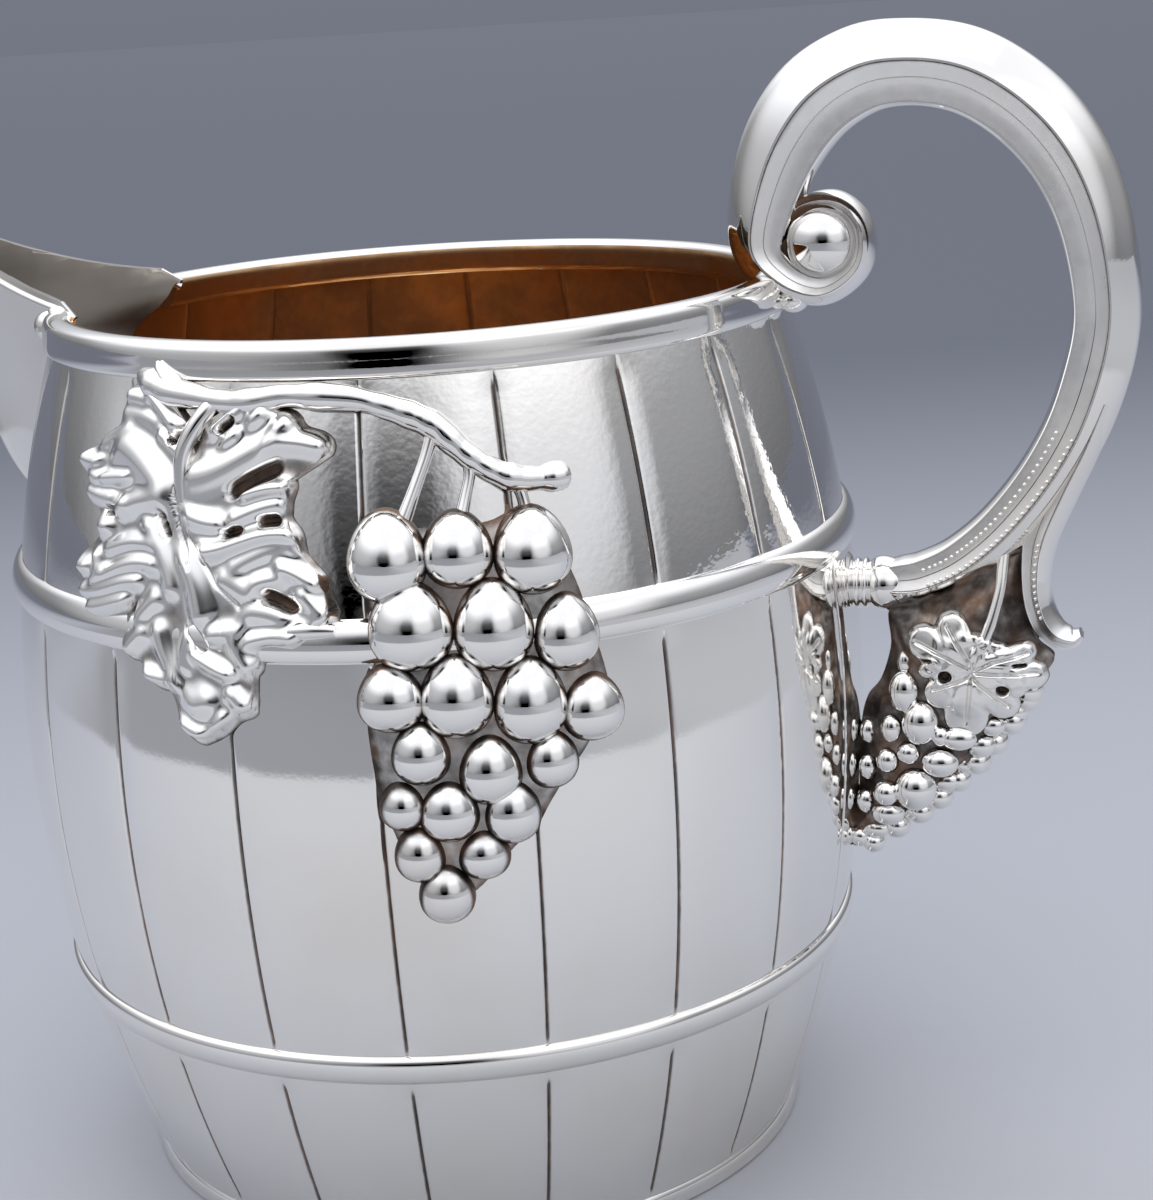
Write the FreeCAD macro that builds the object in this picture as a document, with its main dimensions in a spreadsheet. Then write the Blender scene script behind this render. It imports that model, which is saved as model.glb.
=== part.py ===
import FreeCAD, Part
import math
import os

import Sketcher

# A barrel-shaped silver wine jug, in millimetres. The origin is the centre of
# the foot on the table, +Z is up, the handle points along +X and the spout
# along -X. "Left" is the -Y side, "right" its mirror image at +Y.

SIZES = [
    ("body_height", 160.0, "foot to the crest of the mouth band"),
    ("foot_radius", 61.0, "outside of the wall at the table"),
    ("belly_radius", 78.0, "outside of the wall at its widest"),
    ("belly_height", 84.0, "height of the widest ring"),
    ("mouth_radius", 64.0, "outside of the wall at the rim"),
    ("wall_thickness", 1.2, "raised sheet of the barrel"),
    ("stave_count", 20.0, "staves marked round the barrel"),
    ("groove_angle", 0.8, "degrees of the turn that one groove takes"),
    ("groove_depth", 0.4, "depth of the lines between staves"),
    ("groove_margin", 1.2, "plain metal between a groove and a hoop"),
    ("base_lift", 3.0, "underside of the base plate above the table"),
    ("base_thickness", 1.6, "base plate"),
    ("foot_band_width", 4.2, "height of the foot band"),
    ("foot_band_proud", 1.7, "how far the foot band stands out"),
    ("lower_hoop_height", 40.5, "middle of the lower hoop"),
    ("lower_hoop_width", 5.6, "height of the lower hoop"),
    ("lower_hoop_proud", 1.5, "how far the lower hoop stands out"),
    ("upper_hoop_drop", 45.5, "middle of the upper hoop below the rim"),
    ("upper_hoop_width", 7.0, "height of the upper hoop"),
    ("upper_hoop_proud", 1.6, "how far the upper hoop stands out"),
    ("mouth_band_width", 6.0, "height of the mouth band"),
    ("mouth_band_proud", 1.8, "how far the mouth band stands out"),
    ("mouth_band_lap", 3.0, "how far the band stands above the wall"),
    ("spout_half_angle", 21.0, "half of the turn that the spout takes"),
    ("spout_reach", 34.0, "lip tip beyond the wall at the rim"),
    ("spout_rise", 15.0, "lip tip above the rim"),
    ("spout_wall", 1.3, "sheet of the spout"),
    ("spout_nose", 4.0, "radius of the rounded keel"),
    ("spout_keel", 11.5, "keel beyond the wall, part way up"),
    ("handle_width", 14.4, "handle across, at its widest"),
    ("handle_depth", 15.2, "handle from outer to inner edge, on top"),
    ("handle_wall", 1.8, "metal of the hollow handle"),
    ("handle_drop", 56.0, "middle of the lower arm's end below the rim"),
    ("scroll_offset", 10.0, "scroll eye beyond the wall at the rim"),
    ("scroll_lift", 5.2, "scroll eye above the rim"),
    ("scroll_web", 9.0, "thickness of the disc behind the eyes"),
    ("eye_radius", 7.0, "ball of which a scroll eye is the cap"),
    ("collar_length", 5.6, "reel between lower arm and barrel"),
    ("collar_radius", 6.2, "reel at its beads"),
    ("saddle_radius", 3.4, "solder fillet under the scroll"),
    ("saddle_width", 9.0, "solder fillet along the rim"),
    ("bunch_width", 13.0, "core of the bracket bunch, across"),
    ("bracket_grape", 3.1, "radius of a grape of the bracket"),
    ("bracket_pitch", 5.7, "spacing of the bracket's grapes"),
    ("leaf_relief", 3.4, "vine leaf above the wall"),
    ("bracket_leaf_relief", 2.4, "thickness of the bracket's leaves"),
    ("backing_relief", 1.3, "plate behind the grapes"),
    ("branch_radius", 2.1, "vine branch"),
    ("stem_radius", 1.2, "grape stems"),
]

doc = FreeCAD.newDocument("wine_jug")
sheet = doc.addObject("Spreadsheet::Sheet", "Sizes")
for row, (alias, number, note) in enumerate(SIZES, start=1):
    sheet.set("A%d" % row, note)
    sheet.set("B%d" % row, str(number))
    sheet.setAlias("B%d" % row, alias)
doc.recompute()


def size(alias):
    return float(sheet.get(alias))


def evaluate(expression):
    return float(sheet.evalExpression(expression))


# The barrel's outline is two arcs that meet upright at the belly.
LOWER_ARC = (
    "(((Sizes.belly_radius - Sizes.foot_radius)^2 + Sizes.belly_height^2)"
    " / (2 * (Sizes.belly_radius - Sizes.foot_radius)))"
)
UPPER_RISE = "(Sizes.body_height - Sizes.belly_height)"
UPPER_ARC = (
    "(((Sizes.belly_radius - Sizes.mouth_radius)^2 + " + UPPER_RISE + "^2)"
    " / (2 * (Sizes.belly_radius - Sizes.mouth_radius)))"
)
WALL_TOP = "(Sizes.body_height - Sizes.mouth_band_lap)"


def wall_at(height, arc, inset="0"):
    """Expression for the wall's radius at a height, on one of the two arcs"""
    return (
        "(Sizes.belly_radius - %s + sqrt((%s - %s)^2 - (%s - Sizes.belly_height)^2))"
        % (arc, arc, inset, height)
    )


def barrel_radius(height):
    """Outside of the wall at a height"""
    belly = size("belly_radius")
    end = size("mouth_radius")
    rise = size("body_height") - size("belly_height")
    if height < size("belly_height"):
        end = size("foot_radius")
        rise = size("belly_height")
    arc = ((belly - end) ** 2 + rise ** 2) / (2 * (belly - end))
    return belly - arc + math.sqrt(arc ** 2 - (height - size("belly_height")) ** 2)


def origin_plane(body, role):
    return next(item for item in body.Origin.OriginFeatures if item.Role == role)


def arc_between(start, end, radius, turn):
    """Arc of under half a circle from start to end; turn 1 goes anticlockwise"""
    half = (end - start) * 0.5
    side = FreeCAD.Vector(-half.y, half.x, 0).normalize()
    drop = math.sqrt(max(radius ** 2 - half.Length ** 2, 0.0))
    centre = start + half + side * (drop * turn)
    first, last = (start, end) if turn > 0 else (end, start)
    first_angle = math.atan2(first.y - centre.y, first.x - centre.x)
    last_angle = math.atan2(last.y - centre.y, last.x - centre.x)
    circle = Part.Circle(centre, FreeCAD.Vector(0, 0, 1), radius)
    return Part.ArcOfCircle(circle, first_angle, last_angle)


def add_outline(sketch, corners, arcs):
    """Closed outline in a sketch, each corner and each arc bound to the sheet.

    corners holds pairs of expressions, and arcs maps the number of an edge to
    the expression of its radius and the way it turns.
    """
    points = [FreeCAD.Vector(evaluate(x), evaluate(z), 0) for x, z in corners]
    ends = []
    for index, start in enumerate(points):
        end = points[(index + 1) % len(points)]
        if index in arcs:
            radius, turn = arcs[index]
            curve = arc_between(start, end, evaluate(radius), turn)
            edge = sketch.addGeometry(curve, False)
            number = sketch.addConstraint(Sketcher.Constraint("Radius", edge, evaluate(radius)))
            sketch.setExpression("Constraints[%d]" % number, radius)
            ends.append((edge, 1, 2) if turn > 0 else (edge, 2, 1))
        else:
            edge = sketch.addGeometry(Part.LineSegment(start, end), False)
            ends.append((edge, 1, 2))
    for index, (edge, first, last) in enumerate(ends):
        following, following_first, _ = ends[(index + 1) % len(ends)]
        sketch.addConstraint(Sketcher.Constraint("Coincident", edge, last, following, following_first))
        for axis, kind, expression in ((-2, "DistanceX", corners[index][0]), (-1, "DistanceY", corners[index][1])):
            if expression == "0":
                sketch.addConstraint(Sketcher.Constraint("PointOnObject", edge, first, axis))
            else:
                rule = Sketcher.Constraint(kind, -1, 1, edge, first, evaluate(expression))
                number = sketch.addConstraint(rule)
                sketch.setExpression("Constraints[%d]" % number, expression)


def new_sketch(body, name):
    sketch = body.newObject("Sketcher::SketchObject", name)
    sketch.AttachmentSupport = (origin_plane(body, "XZ_Plane"), [""])
    sketch.MapMode = "FlatFace"
    return sketch


def turned(name, corners, arcs, axis="V_Axis"):
    """Body turned from one outline about the upright or the level axis"""
    body = doc.addObject("PartDesign::Body", name)
    sketch = new_sketch(body, name + "_outline")
    add_outline(sketch, corners, arcs)
    revolution = body.newObject("PartDesign::Revolution", name + "_turn")
    revolution.Profile = sketch
    revolution.ReferenceAxis = (sketch, [axis])
    revolution.Angle = 360
    return body


def cut(name, base, *tools):
    """The base with every tool taken away, one cut after the other"""
    result = base
    for number, tool in enumerate(tools, start=1):
        label = name if number == len(tools) else "%s_cut_%d" % (name, number)
        step = doc.addObject("Part::Cut", label)
        step.Base = result
        step.Tool = tool
        result = step
    return result


def piece(name, shape):
    feature = doc.addObject("Part::Feature", name)
    feature.Shape = shape
    return feature


def mirrored(name, source):
    """The piece on the right side, from the one on the left"""
    twin = doc.addObject("Part::Mirroring", name)
    twin.Source = source
    twin.Normal = (0, 1, 0)
    return twin


# Barrel: one raised wall, whose staves are marked with chased lines.
INNER = "Sizes.wall_thickness"
barrel_outline = [
    ("Sizes.foot_radius", "0"),
    ("Sizes.belly_radius", "Sizes.belly_height"),
    (wall_at(WALL_TOP, UPPER_ARC), WALL_TOP),
]
barrel_arcs = {0: (LOWER_ARC, 1), 1: (UPPER_ARC, 1)}
wall_inside = [
    (wall_at(WALL_TOP, UPPER_ARC, INNER), WALL_TOP),
    ("Sizes.belly_radius - " + INNER, "Sizes.belly_height"),
    (wall_at("0", LOWER_ARC, INNER), "0"),
]
wall_arcs = dict(barrel_arcs)
wall_arcs[3] = ("%s - %s" % (UPPER_ARC, INNER), -1)
wall_arcs[4] = ("%s - %s" % (LOWER_ARC, INNER), -1)
staved_wall = turned("staved_wall", barrel_outline + wall_inside, wall_arcs)

# Each groove is a sliver of the turn, in three runs between band, hoops and foot.
DEPTH = "Sizes.groove_depth"
OUTSIDE = "(Sizes.belly_radius + 2)"
UPPER_HOOP = "(Sizes.body_height - Sizes.upper_hoop_drop)"
upper_hoop_top = "(%s + Sizes.upper_hoop_width / 2)" % UPPER_HOOP
upper_hoop_foot = "(%s - Sizes.upper_hoop_width / 2 - Sizes.groove_margin)" % UPPER_HOOP
lower_hoop_top = "(Sizes.lower_hoop_height + Sizes.lower_hoop_width / 2)"
lower_hoop_foot = "(Sizes.lower_hoop_height - Sizes.lower_hoop_width / 2 - Sizes.groove_margin)"
band_foot = "(Sizes.body_height - Sizes.mouth_band_width - Sizes.groove_margin)"
DEEP_UPPER = "%s - %s" % (UPPER_ARC, DEPTH)
DEEP_LOWER = "%s - %s" % (LOWER_ARC, DEPTH)
groove_sketch = new_sketch(staved_wall, "groove_outline")
add_outline(
    groove_sketch,
    [
        (OUTSIDE, upper_hoop_top),
        (OUTSIDE, band_foot),
        (wall_at(band_foot, UPPER_ARC, DEPTH), band_foot),
        (wall_at(upper_hoop_top, UPPER_ARC, DEPTH), upper_hoop_top),
    ],
    {2: (DEEP_UPPER, -1)},
)
add_outline(
    groove_sketch,
    [
        (OUTSIDE, lower_hoop_top),
        (OUTSIDE, upper_hoop_foot),
        (wall_at(upper_hoop_foot, UPPER_ARC, DEPTH), upper_hoop_foot),
        ("Sizes.belly_radius - " + DEPTH, "Sizes.belly_height"),
        (wall_at(lower_hoop_top, LOWER_ARC, DEPTH), lower_hoop_top),
    ],
    {2: (DEEP_UPPER, -1), 3: (DEEP_LOWER, -1)},
)
add_outline(
    groove_sketch,
    [
        (OUTSIDE, "Sizes.foot_band_width"),
        (OUTSIDE, lower_hoop_foot),
        (wall_at(lower_hoop_foot, LOWER_ARC, DEPTH), lower_hoop_foot),
        (wall_at("Sizes.foot_band_width", LOWER_ARC, DEPTH), "Sizes.foot_band_width"),
    ],
    {2: (DEEP_LOWER, -1)},
)
groove = staved_wall.newObject("PartDesign::Groove", "groove")
groove.Profile = groove_sketch
groove.ReferenceAxis = (groove_sketch, ["V_Axis"])
groove.Midplane = True
groove.setExpression("Angle", "Sizes.groove_angle")
doc.recompute()
staves = staved_wall.newObject("PartDesign::PolarPattern", "staves")
staves.Originals = [groove]
staves.Axis = (groove_sketch, ["V_Axis"])
staves.Angle = 360
staves.setExpression("Occurrences", "Sizes.stave_count")
staved_wall.Tip = staves
staved_wall.setExpression("Placement.Rotation.Angle", "180 / Sizes.stave_count")

# Solid cores that seat other pieces: the barrel filled to its outside and to its inside.
barrel_core = turned("barrel_core", barrel_outline + [("0", WALL_TOP), ("0", "0")], barrel_arcs)
hollow_core = turned(
    "hollow_core",
    wall_inside + [("0", "0"), ("0", WALL_TOP)],
    {0: wall_arcs[3], 1: wall_arcs[4]},
)

# Base plate, let into the foot of the wall.
base_top = "Sizes.base_lift + Sizes.base_thickness"
base_disc = turned(
    "base_disc",
    [("0", "Sizes.base_lift"), ("Sizes.belly_radius", "Sizes.base_lift"), ("Sizes.belly_radius", base_top),
     ("0", base_top)],
    {},
)
base_plate = doc.addObject("Part::Common", "base_plate")
base_plate.Base = base_disc
base_plate.Tool = hollow_core


def half_round(name, height, width, proud, arc):
    """Half-round hoop that follows the wall; its back is let into the wall and cut there"""
    low = "(%s - %s / 2)" % (height, width)
    high = "(%s + %s / 2)" % (height, width)
    back = "(%s - 6 * Sizes.wall_thickness)" % wall_at(height, arc)
    chord = "sqrt((%s - %s)^2 + %s^2)" % (wall_at(low, arc), wall_at(high, arc), width)
    bulge = "((%s / 2)^2 + %s^2) / (2 * %s)" % (chord, proud, proud)
    corners = [(back, low), (wall_at(low, arc), low), (wall_at(high, arc), high), (back, high)]
    return turned(name, corners, {1: (bulge, 1)})


lower_ring = half_round(
    "lower_ring", "Sizes.lower_hoop_height", "Sizes.lower_hoop_width", "Sizes.lower_hoop_proud", LOWER_ARC
)
lower_hoop = cut("lower_hoop", lower_ring, barrel_core)
upper_ring = half_round(
    "upper_ring", UPPER_HOOP, "Sizes.upper_hoop_width", "Sizes.upper_hoop_proud", UPPER_ARC
)
upper_hoop = cut("upper_hoop", upper_ring, barrel_core)

# Foot band: a flat strip with a rounded top edge, standing on the table.
foot_edge = "(Sizes.foot_radius + Sizes.foot_band_proud)"
foot_top = wall_at("Sizes.foot_band_width", LOWER_ARC)
foot_bulge = "(Sizes.foot_band_width * 1.6)"
foot_ring = turned(
    "foot_ring",
    [("Sizes.foot_radius - 3 * Sizes.wall_thickness", "0"), (foot_edge, "0"),
     (foot_top, "Sizes.foot_band_width"),
     ("Sizes.foot_radius - 3 * Sizes.wall_thickness", "Sizes.foot_band_width")],
    {1: (foot_bulge, 1)},
)
foot_band = cut("foot_band", foot_ring, barrel_core)

# Mouth band: laps the wall outside, stands above it and rounds over to the inside.
band_low = "(Sizes.body_height - Sizes.mouth_band_width)"
band_inside = wall_at(WALL_TOP, UPPER_ARC, INNER)
band_crest = "(%s - Sizes.wall_thickness)" % wall_at("Sizes.body_height", UPPER_ARC)
band_bulge = "(Sizes.mouth_band_width * 0.78 + Sizes.mouth_band_proud * 0.1)"
band_lip = "(Sizes.body_height - Sizes.mouth_band_lap * 0.3)"
mouth_ring = turned(
    "mouth_ring",
    [(band_inside, band_low), (wall_at(band_low, UPPER_ARC), band_low),
     (wall_at(band_low, UPPER_ARC) + " + Sizes.mouth_band_proud * 0.6", band_low + " + Sizes.mouth_band_lap * 0.2"),
     (band_crest, "Sizes.body_height"), (band_inside, band_lip)],
    {2: (band_bulge, 1)},
)
doc.recompute()

# Spout: a folded beak. Level sections of its outside and its inside are lofted,
# the lip is cut to a rising curve, and the sides end on the wall.
rim_radius = barrel_radius(size("body_height"))
spout_foot = size("body_height") - size("upper_hoop_drop") + size("upper_hoop_width") / 2
spout_tip = FreeCAD.Vector(-(rim_radius + size("spout_reach")), 0, size("body_height") + size("spout_rise"))
rim_half_width = rim_radius * math.sin(math.radians(size("spout_half_angle")))
BACK = rim_radius * 0.55


def spout_section(height, joint_half_width, nose_x, inset):
    """Level outline: sides that part from the wall at the joints and run to a rounded keel"""
    joint_x = math.sqrt(barrel_radius(min(height, size("body_height"))) ** 2 - joint_half_width ** 2)
    nose = min(size("spout_nose"), joint_half_width * 0.45)
    lead = nose_x - nose * 0.55
    slope = (joint_half_width - nose) / (lead - joint_x)
    knee = 1.4 * size("wall_thickness")
    knee_half_width = joint_half_width + slope * knee - inset
    nose -= inset * 0.4
    keel = FreeCAD.Vector(-(nose_x - inset), 0, height)
    right = [
        FreeCAD.Vector(-BACK, knee_half_width, height),
        FreeCAD.Vector(-(joint_x - knee), knee_half_width, height),
        FreeCAD.Vector(-(lead - inset), nose, height),
    ]
    left = [FreeCAD.Vector(point.x, -point.y, height) for point in right]
    return Part.Wire([
        Part.makeLine(left[0], right[0]),
        Part.makeLine(right[0], right[1]),
        Part.makeLine(right[1], right[2]),
        Part.Arc(right[2], keel, left[2]).toShape(),
        Part.makeLine(left[2], left[1]),
        Part.makeLine(left[1], left[0]),
    ])


def spout_solid(inset):
    """Loft from the point above the upper hoop to above the lip"""
    rise = size("body_height") - spout_foot
    stations = []
    for share, keel_out in ((0.0, 0.16), (0.3, 0.86), (0.62, 1.3)):
        height = spout_foot + inset + share * rise
        half_width = rim_half_width * (0.16 + 0.84 * share)
        stations.append((height, half_width, barrel_radius(height) + keel_out * size("spout_keel")))
    stations.append((spout_tip.z + size("spout_wall"), rim_half_width, -spout_tip.x + size("spout_wall")))
    wires = [spout_section(height, half_width, nose, inset) for height, half_width, nose in stations]
    return Part.makeLoft(wires, True, False)


def above_lip():
    """Everything over the lip's rising curve"""
    start = FreeCAD.Vector(-BACK, 0, size("body_height") - 1)
    joint = FreeCAD.Vector(-rim_radius, 0, size("body_height") + 0.2)
    middle = (joint + spout_tip) * 0.5 - FreeCAD.Vector(0, 0, size("spout_rise") * 0.13)
    ahead = spout_tip + FreeCAD.Vector(-size("spout_reach"), 0, size("spout_rise"))
    top = spout_tip.z + size("body_height")
    edges = [
        Part.makeLine(start, joint),
        Part.Arc(joint, middle, spout_tip).toShape(),
        Part.makeLine(spout_tip, ahead),
        Part.makeLine(ahead, FreeCAD.Vector(ahead.x, 0, top)),
        Part.makeLine(FreeCAD.Vector(ahead.x, 0, top), FreeCAD.Vector(start.x, 0, top)),
        Part.makeLine(FreeCAD.Vector(start.x, 0, top), start),
    ]
    face = Part.Face(Part.Wire(edges))
    width = 4 * rim_half_width
    face.translate(FreeCAD.Vector(0, -width / 2, 0))
    return face.extrude(FreeCAD.Vector(0, width, 0))


spout_outside = piece("spout_outside", spout_solid(0))
spout_inside = piece("spout_inside", spout_solid(size("spout_wall")))
wall_top = size("body_height") - size("mouth_band_lap")
inside_rim = Part.makeCylinder(barrel_radius(wall_top), spout_tip.z, FreeCAD.Vector(0, 0, wall_top))
spout_shell = spout_outside.Shape.cut(spout_inside.Shape).cut(barrel_core.Shape).cut(inside_rim)
spout = piece("spout", spout_shell.cut(above_lip()))
barrel_wall = cut("barrel_wall", staved_wall, spout_inside)
mouth_band = cut("mouth_band", mouth_ring, barrel_core, spout_outside)
doc.recompute()

# Handle: hollow, cast in two halves that meet at the middle plane. Its line runs
# from the scroll at the rim, over the top and down to the collar on the barrel.
rim_anchor = FreeCAD.Vector(rim_radius, 0, size("body_height"))
arm_height = size("body_height") - size("handle_drop")
foot_anchor = FreeCAD.Vector(barrel_radius(arm_height), 0, arm_height)
scroll_centre = rim_anchor + FreeCAD.Vector(size("scroll_offset"), 0, size("scroll_lift"))

# Scroll: angle round the eye, outer radius, and shares of the handle's depth and width.
SCROLL = [
    (70, 8.9, 0.22, 0.70), (20, 9.1, 0.25, 0.76), (-35, 9.8, 0.30, 0.84), (-90, 11.2, 0.37, 0.92),
    (-140, 12.8, 0.48, 0.96), (-182, 16.5, 0.70, 1.0),
]
# Bow: share of the way from rim to foot anchor, offset from there, shares of depth and width.
BOW = [
    (0.00, 2.2, 18.6, 0.94, 1.0), (0.00, 8.6, 28.3, 1.03, 1.0), (0.00, 16.9, 33.4, 1.00, 1.0),
    (0.00, 25.0, 34.5, 0.96, 1.0), (0.00, 33.3, 33.1, 0.95, 0.99), (0.05, 39.7, 32.4, 0.94, 0.98),
    (0.10, 45.6, 29.5, 0.92, 0.96), (0.20, 49.3, 28.0, 0.88, 0.94), (0.30, 51.4, 25.1, 0.83, 0.92),
    (0.40, 52.0, 21.1, 0.79, 0.90), (0.50, 51.0, 18.0, 0.77, 0.88), (0.60, 48.0, 14.8, 0.76, 0.86),
    (0.70, 43.1, 10.4, 0.74, 0.84), (0.80, 36.2, 6.6, 0.70, 0.82), (0.90, 27.9, 4.0, 0.68, 0.80),
    (1.00, 19.4, 3.9, 0.66, 0.78), (1.00, 12.9, 1.0, 0.66, 0.76),
]


def handle_line():
    """Middle of each section, half of its depth and half of its width"""
    stations = []
    for angle, outer, depth, width in SCROLL:
        half_depth = size("handle_depth") / 2 * depth
        away = FreeCAD.Vector(math.cos(math.radians(angle)), 0, math.sin(math.radians(angle)))
        stations.append((scroll_centre + away * (outer - half_depth), half_depth, size("handle_width") / 2 * width))
    for share, along, up, depth, width in BOW:
        anchor = rim_anchor * (1 - share) + foot_anchor * share
        half_depth = size("handle_depth") / 2 * depth
        stations.append((anchor + FreeCAD.Vector(along, 0, up), half_depth, size("handle_width") / 2 * width))
    foot = foot_anchor + FreeCAD.Vector(size("collar_length"), 0, 0)
    stations.append((foot, size("handle_depth") * 0.32, size("handle_width") * 0.36))
    return stations


def outward(stations, index):
    """Direction out of the bow at a station, square to the line"""
    if index == len(stations) - 1:
        return FreeCAD.Vector(0, 0, -1)
    before = stations[max(index - 1, 0)][0]
    after = stations[index + 1][0]
    along = (after - before).normalize()
    return FreeCAD.Vector(-along.z, 0, along.x)


def handle_section(middle, out, half_depth, half_width):
    """Rounded outer face, hollowed sides and a narrow rounded inner edge"""
    across = FreeCAD.Vector(0, 1, 0)

    def spot(depth, width):
        return middle + out * (half_depth * depth) + across * (half_width * width)

    return Part.Wire([
        Part.Arc(spot(0.15, -1), spot(1, 0), spot(0.15, 1)).toShape(),
        Part.Arc(spot(0.15, 1), spot(-0.3, 0.72), spot(-0.72, 0.66)).toShape(),
        Part.Arc(spot(-0.72, 0.66), spot(-1, 0), spot(-0.72, -0.66)).toShape(),
        Part.Arc(spot(-0.72, -0.66), spot(-0.3, -0.72), spot(0.15, -1)).toShape(),
    ])


def handle_solid(first, last, skin):
    """Loft through the stations from first to last, drawn in by the skin"""
    stations = handle_line()
    wires = []
    for index in range(first, last):
        middle, half_depth, half_width = stations[index]
        wires.append(handle_section(middle, outward(stations, index), half_depth - skin, half_width - skin))
    return Part.makeLoft(wires, True, False)


station_count = len(SCROLL) + len(BOW) + 1
bow = handle_solid(0, station_count, 0)
web_centre = scroll_centre - FreeCAD.Vector(0, size("scroll_web") / 2, 0)
web = Part.makeCylinder(8.2, size("scroll_web"), web_centre, FreeCAD.Vector(0, 1, 0))
above_mouth = Part.makeCylinder(evaluate(band_inside), size("body_height"))
handle_whole = bow.fuse(web).cut(mouth_ring.Shape).cut(barrel_core.Shape).cut(above_mouth)
hollow = handle_solid(len(SCROLL), station_count - 2, size("handle_wall"))
left_space = Part.makeBox(600, 300, 600, FreeCAD.Vector(-300, -300, -100))
handle_left_half = piece("handle_left_half", handle_whole.cut(hollow).common(left_space))
handle_right_half = mirrored("handle_right_half", handle_left_half)

# Scroll eyes: caps of a ball, one on each face of the scroll's disc.
scroll_eye_left = doc.addObject("Part::Sphere", "scroll_eye_left")
scroll_eye_left.Angle1 = 30
scroll_eye_left.setExpression("Radius", "Sizes.eye_radius")
face_out = size("scroll_web") / 2 - size("eye_radius") * math.sin(math.radians(30))
scroll_eye_left.Placement = FreeCAD.Placement(
    scroll_centre - FreeCAD.Vector(0, face_out, 0), FreeCAD.Rotation(FreeCAD.Vector(1, 0, 0), 90)
)
scroll_eye_right = mirrored("scroll_eye_right", scroll_eye_left)

# Collar: a beaded reel between the lower arm and the barrel.
ARM_HEIGHT = "(Sizes.body_height - Sizes.handle_drop)"
collar_out = "(%s + Sizes.collar_length)" % wall_at(ARM_HEIGHT, UPPER_ARC)
collar_bead = "(Sizes.collar_length * 0.3)"
collar_waist = "Sizes.collar_radius * 0.82"
collar_reel = turned(
    "collar_reel",
    [(collar_out + " - 4 * Sizes.collar_length", "0"), (collar_out, "0"), (collar_out, collar_waist),
     (collar_out + " - 0.36 * Sizes.collar_length", collar_waist),
     (collar_out + " - 0.5 * Sizes.collar_length", "Sizes.collar_radius * 0.74"),
     (collar_out + " - 0.64 * Sizes.collar_length", collar_waist),
     (collar_out + " - 4 * Sizes.collar_length", collar_waist)],
    {2: (collar_bead, 1)},
    "H_Axis",
)
collar_reel.setExpression("Placement.Base.z", ARM_HEIGHT)
handle_collar = cut("handle_collar", collar_reel, barrel_core)
doc.recompute()

# Rim saddle: the solder fillet in the corner between scroll, band and wall.
saddle_place = rim_anchor + FreeCAD.Vector(4.6, -size("saddle_width") / 2, -5.6)
saddle_rod = Part.makeCylinder(size("saddle_radius"), size("saddle_width"), saddle_place, FreeCAD.Vector(0, 1, 0))
saddle = saddle_rod.cut(barrel_core.Shape).cut(mouth_ring.Shape).cut(bow).cut(web)
rim_saddle = piece("rim_saddle", saddle)

# Tail: the spur that curls out under the bow.
TAIL = [
    (38.2, 20.0, 3.2, 0.70), (35.0, 9.0, 2.9, 0.68), (33.7, 0.5, 2.4, 0.62),
    (34.4, -5.6, 2.4, 0.60), (36.8, -9.6, 2.1, 0.58), (40.0, -10.4, 1.2, 0.5),
]


def tail_solid():
    line = [foot_anchor + FreeCAD.Vector(along, 0, up) for along, up, _, _ in TAIL]
    wires = []
    for index, (_, _, half_depth, width) in enumerate(TAIL):
        along = (line[min(index + 1, len(line) - 1)] - line[max(index - 1, 0)]).normalize()
        out = FreeCAD.Vector(-along.z, 0, along.x)
        wires.append(handle_section(line[index], out, half_depth, size("handle_width") / 2 * width))
    return Part.makeLoft(wires, True, False)


handle_tail = piece("handle_tail", tail_solid().cut(bow))

# Bracket: a hanging bunch in two half castings between lower arm and barrel,
# with an open slot to the barrel at its top and a leaf on each face.
BRACKET = [
    (7.0, -3.0), (6.6, -11.0), (4.4, -18.0), (1.6, -22.0), (-4.0, -30.0), (-8.0, -50.0), (0.6, -50.6),
    (7.0, -46.0), (14.4, -41.0), (20.6, -34.6), (25.4, -29.6), (31.0, -21.6), (33.6, -15.4), (31.0, -10.0),
    (27.0, 6.0),
]


def bracket_point(along, up, across=0.0):
    return foot_anchor + FreeCAD.Vector(along, across, up)


def inside_outline(point, outline):
    """Whether a point lies within an outline, both as pairs"""
    inside = False
    for (x1, z1), (x2, z2) in zip(outline, outline[1:] + outline[:1]):
        if (z1 > point[1]) != (z2 > point[1]):
            if point[0] < x1 + (point[1] - z1) * (x2 - x1) / (z2 - z1):
                inside = not inside
    return inside


def bracket_half():
    """Core with grapes in staggered rows over its left face"""
    corners = [bracket_point(along, up) for along, up in BRACKET]
    core = Part.Face(Part.makePolygon(corners + corners[:1]))
    solids = [core.extrude(FreeCAD.Vector(0, -size("bunch_width") / 2, 0))]
    pitch = size("bracket_pitch")
    row = 0
    up = -50.0
    while up < -6.0:
        along = 0.6 + (pitch / 2 if row % 2 else 0.0)
        while along < 34.0:
            if inside_outline((along, up), BRACKET):
                swell = 1 + 0.12 * math.sin(2.4 * along + 1.7 * up)
                centre = bracket_point(along, up, -size("bunch_width") / 2 + 0.4)
                solids.append(Part.makeSphere(size("bracket_grape") * swell, centre, FreeCAD.Vector(0, -1, 0)))
            along += pitch
        up += pitch * 0.87
        row += 1
    return solids[0].multiFuse(solids[1:]).common(left_space)


bracket_shape = bracket_half().cut(barrel_core.Shape).cut(bow).cut(handle_tail.Shape)
bracket_bunch_left = piece("bracket_bunch_left", max(bracket_shape.Solids, key=lambda solid: solid.Volume))
bracket_bunch_right = mirrored("bracket_bunch_right", bracket_bunch_left)

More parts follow.
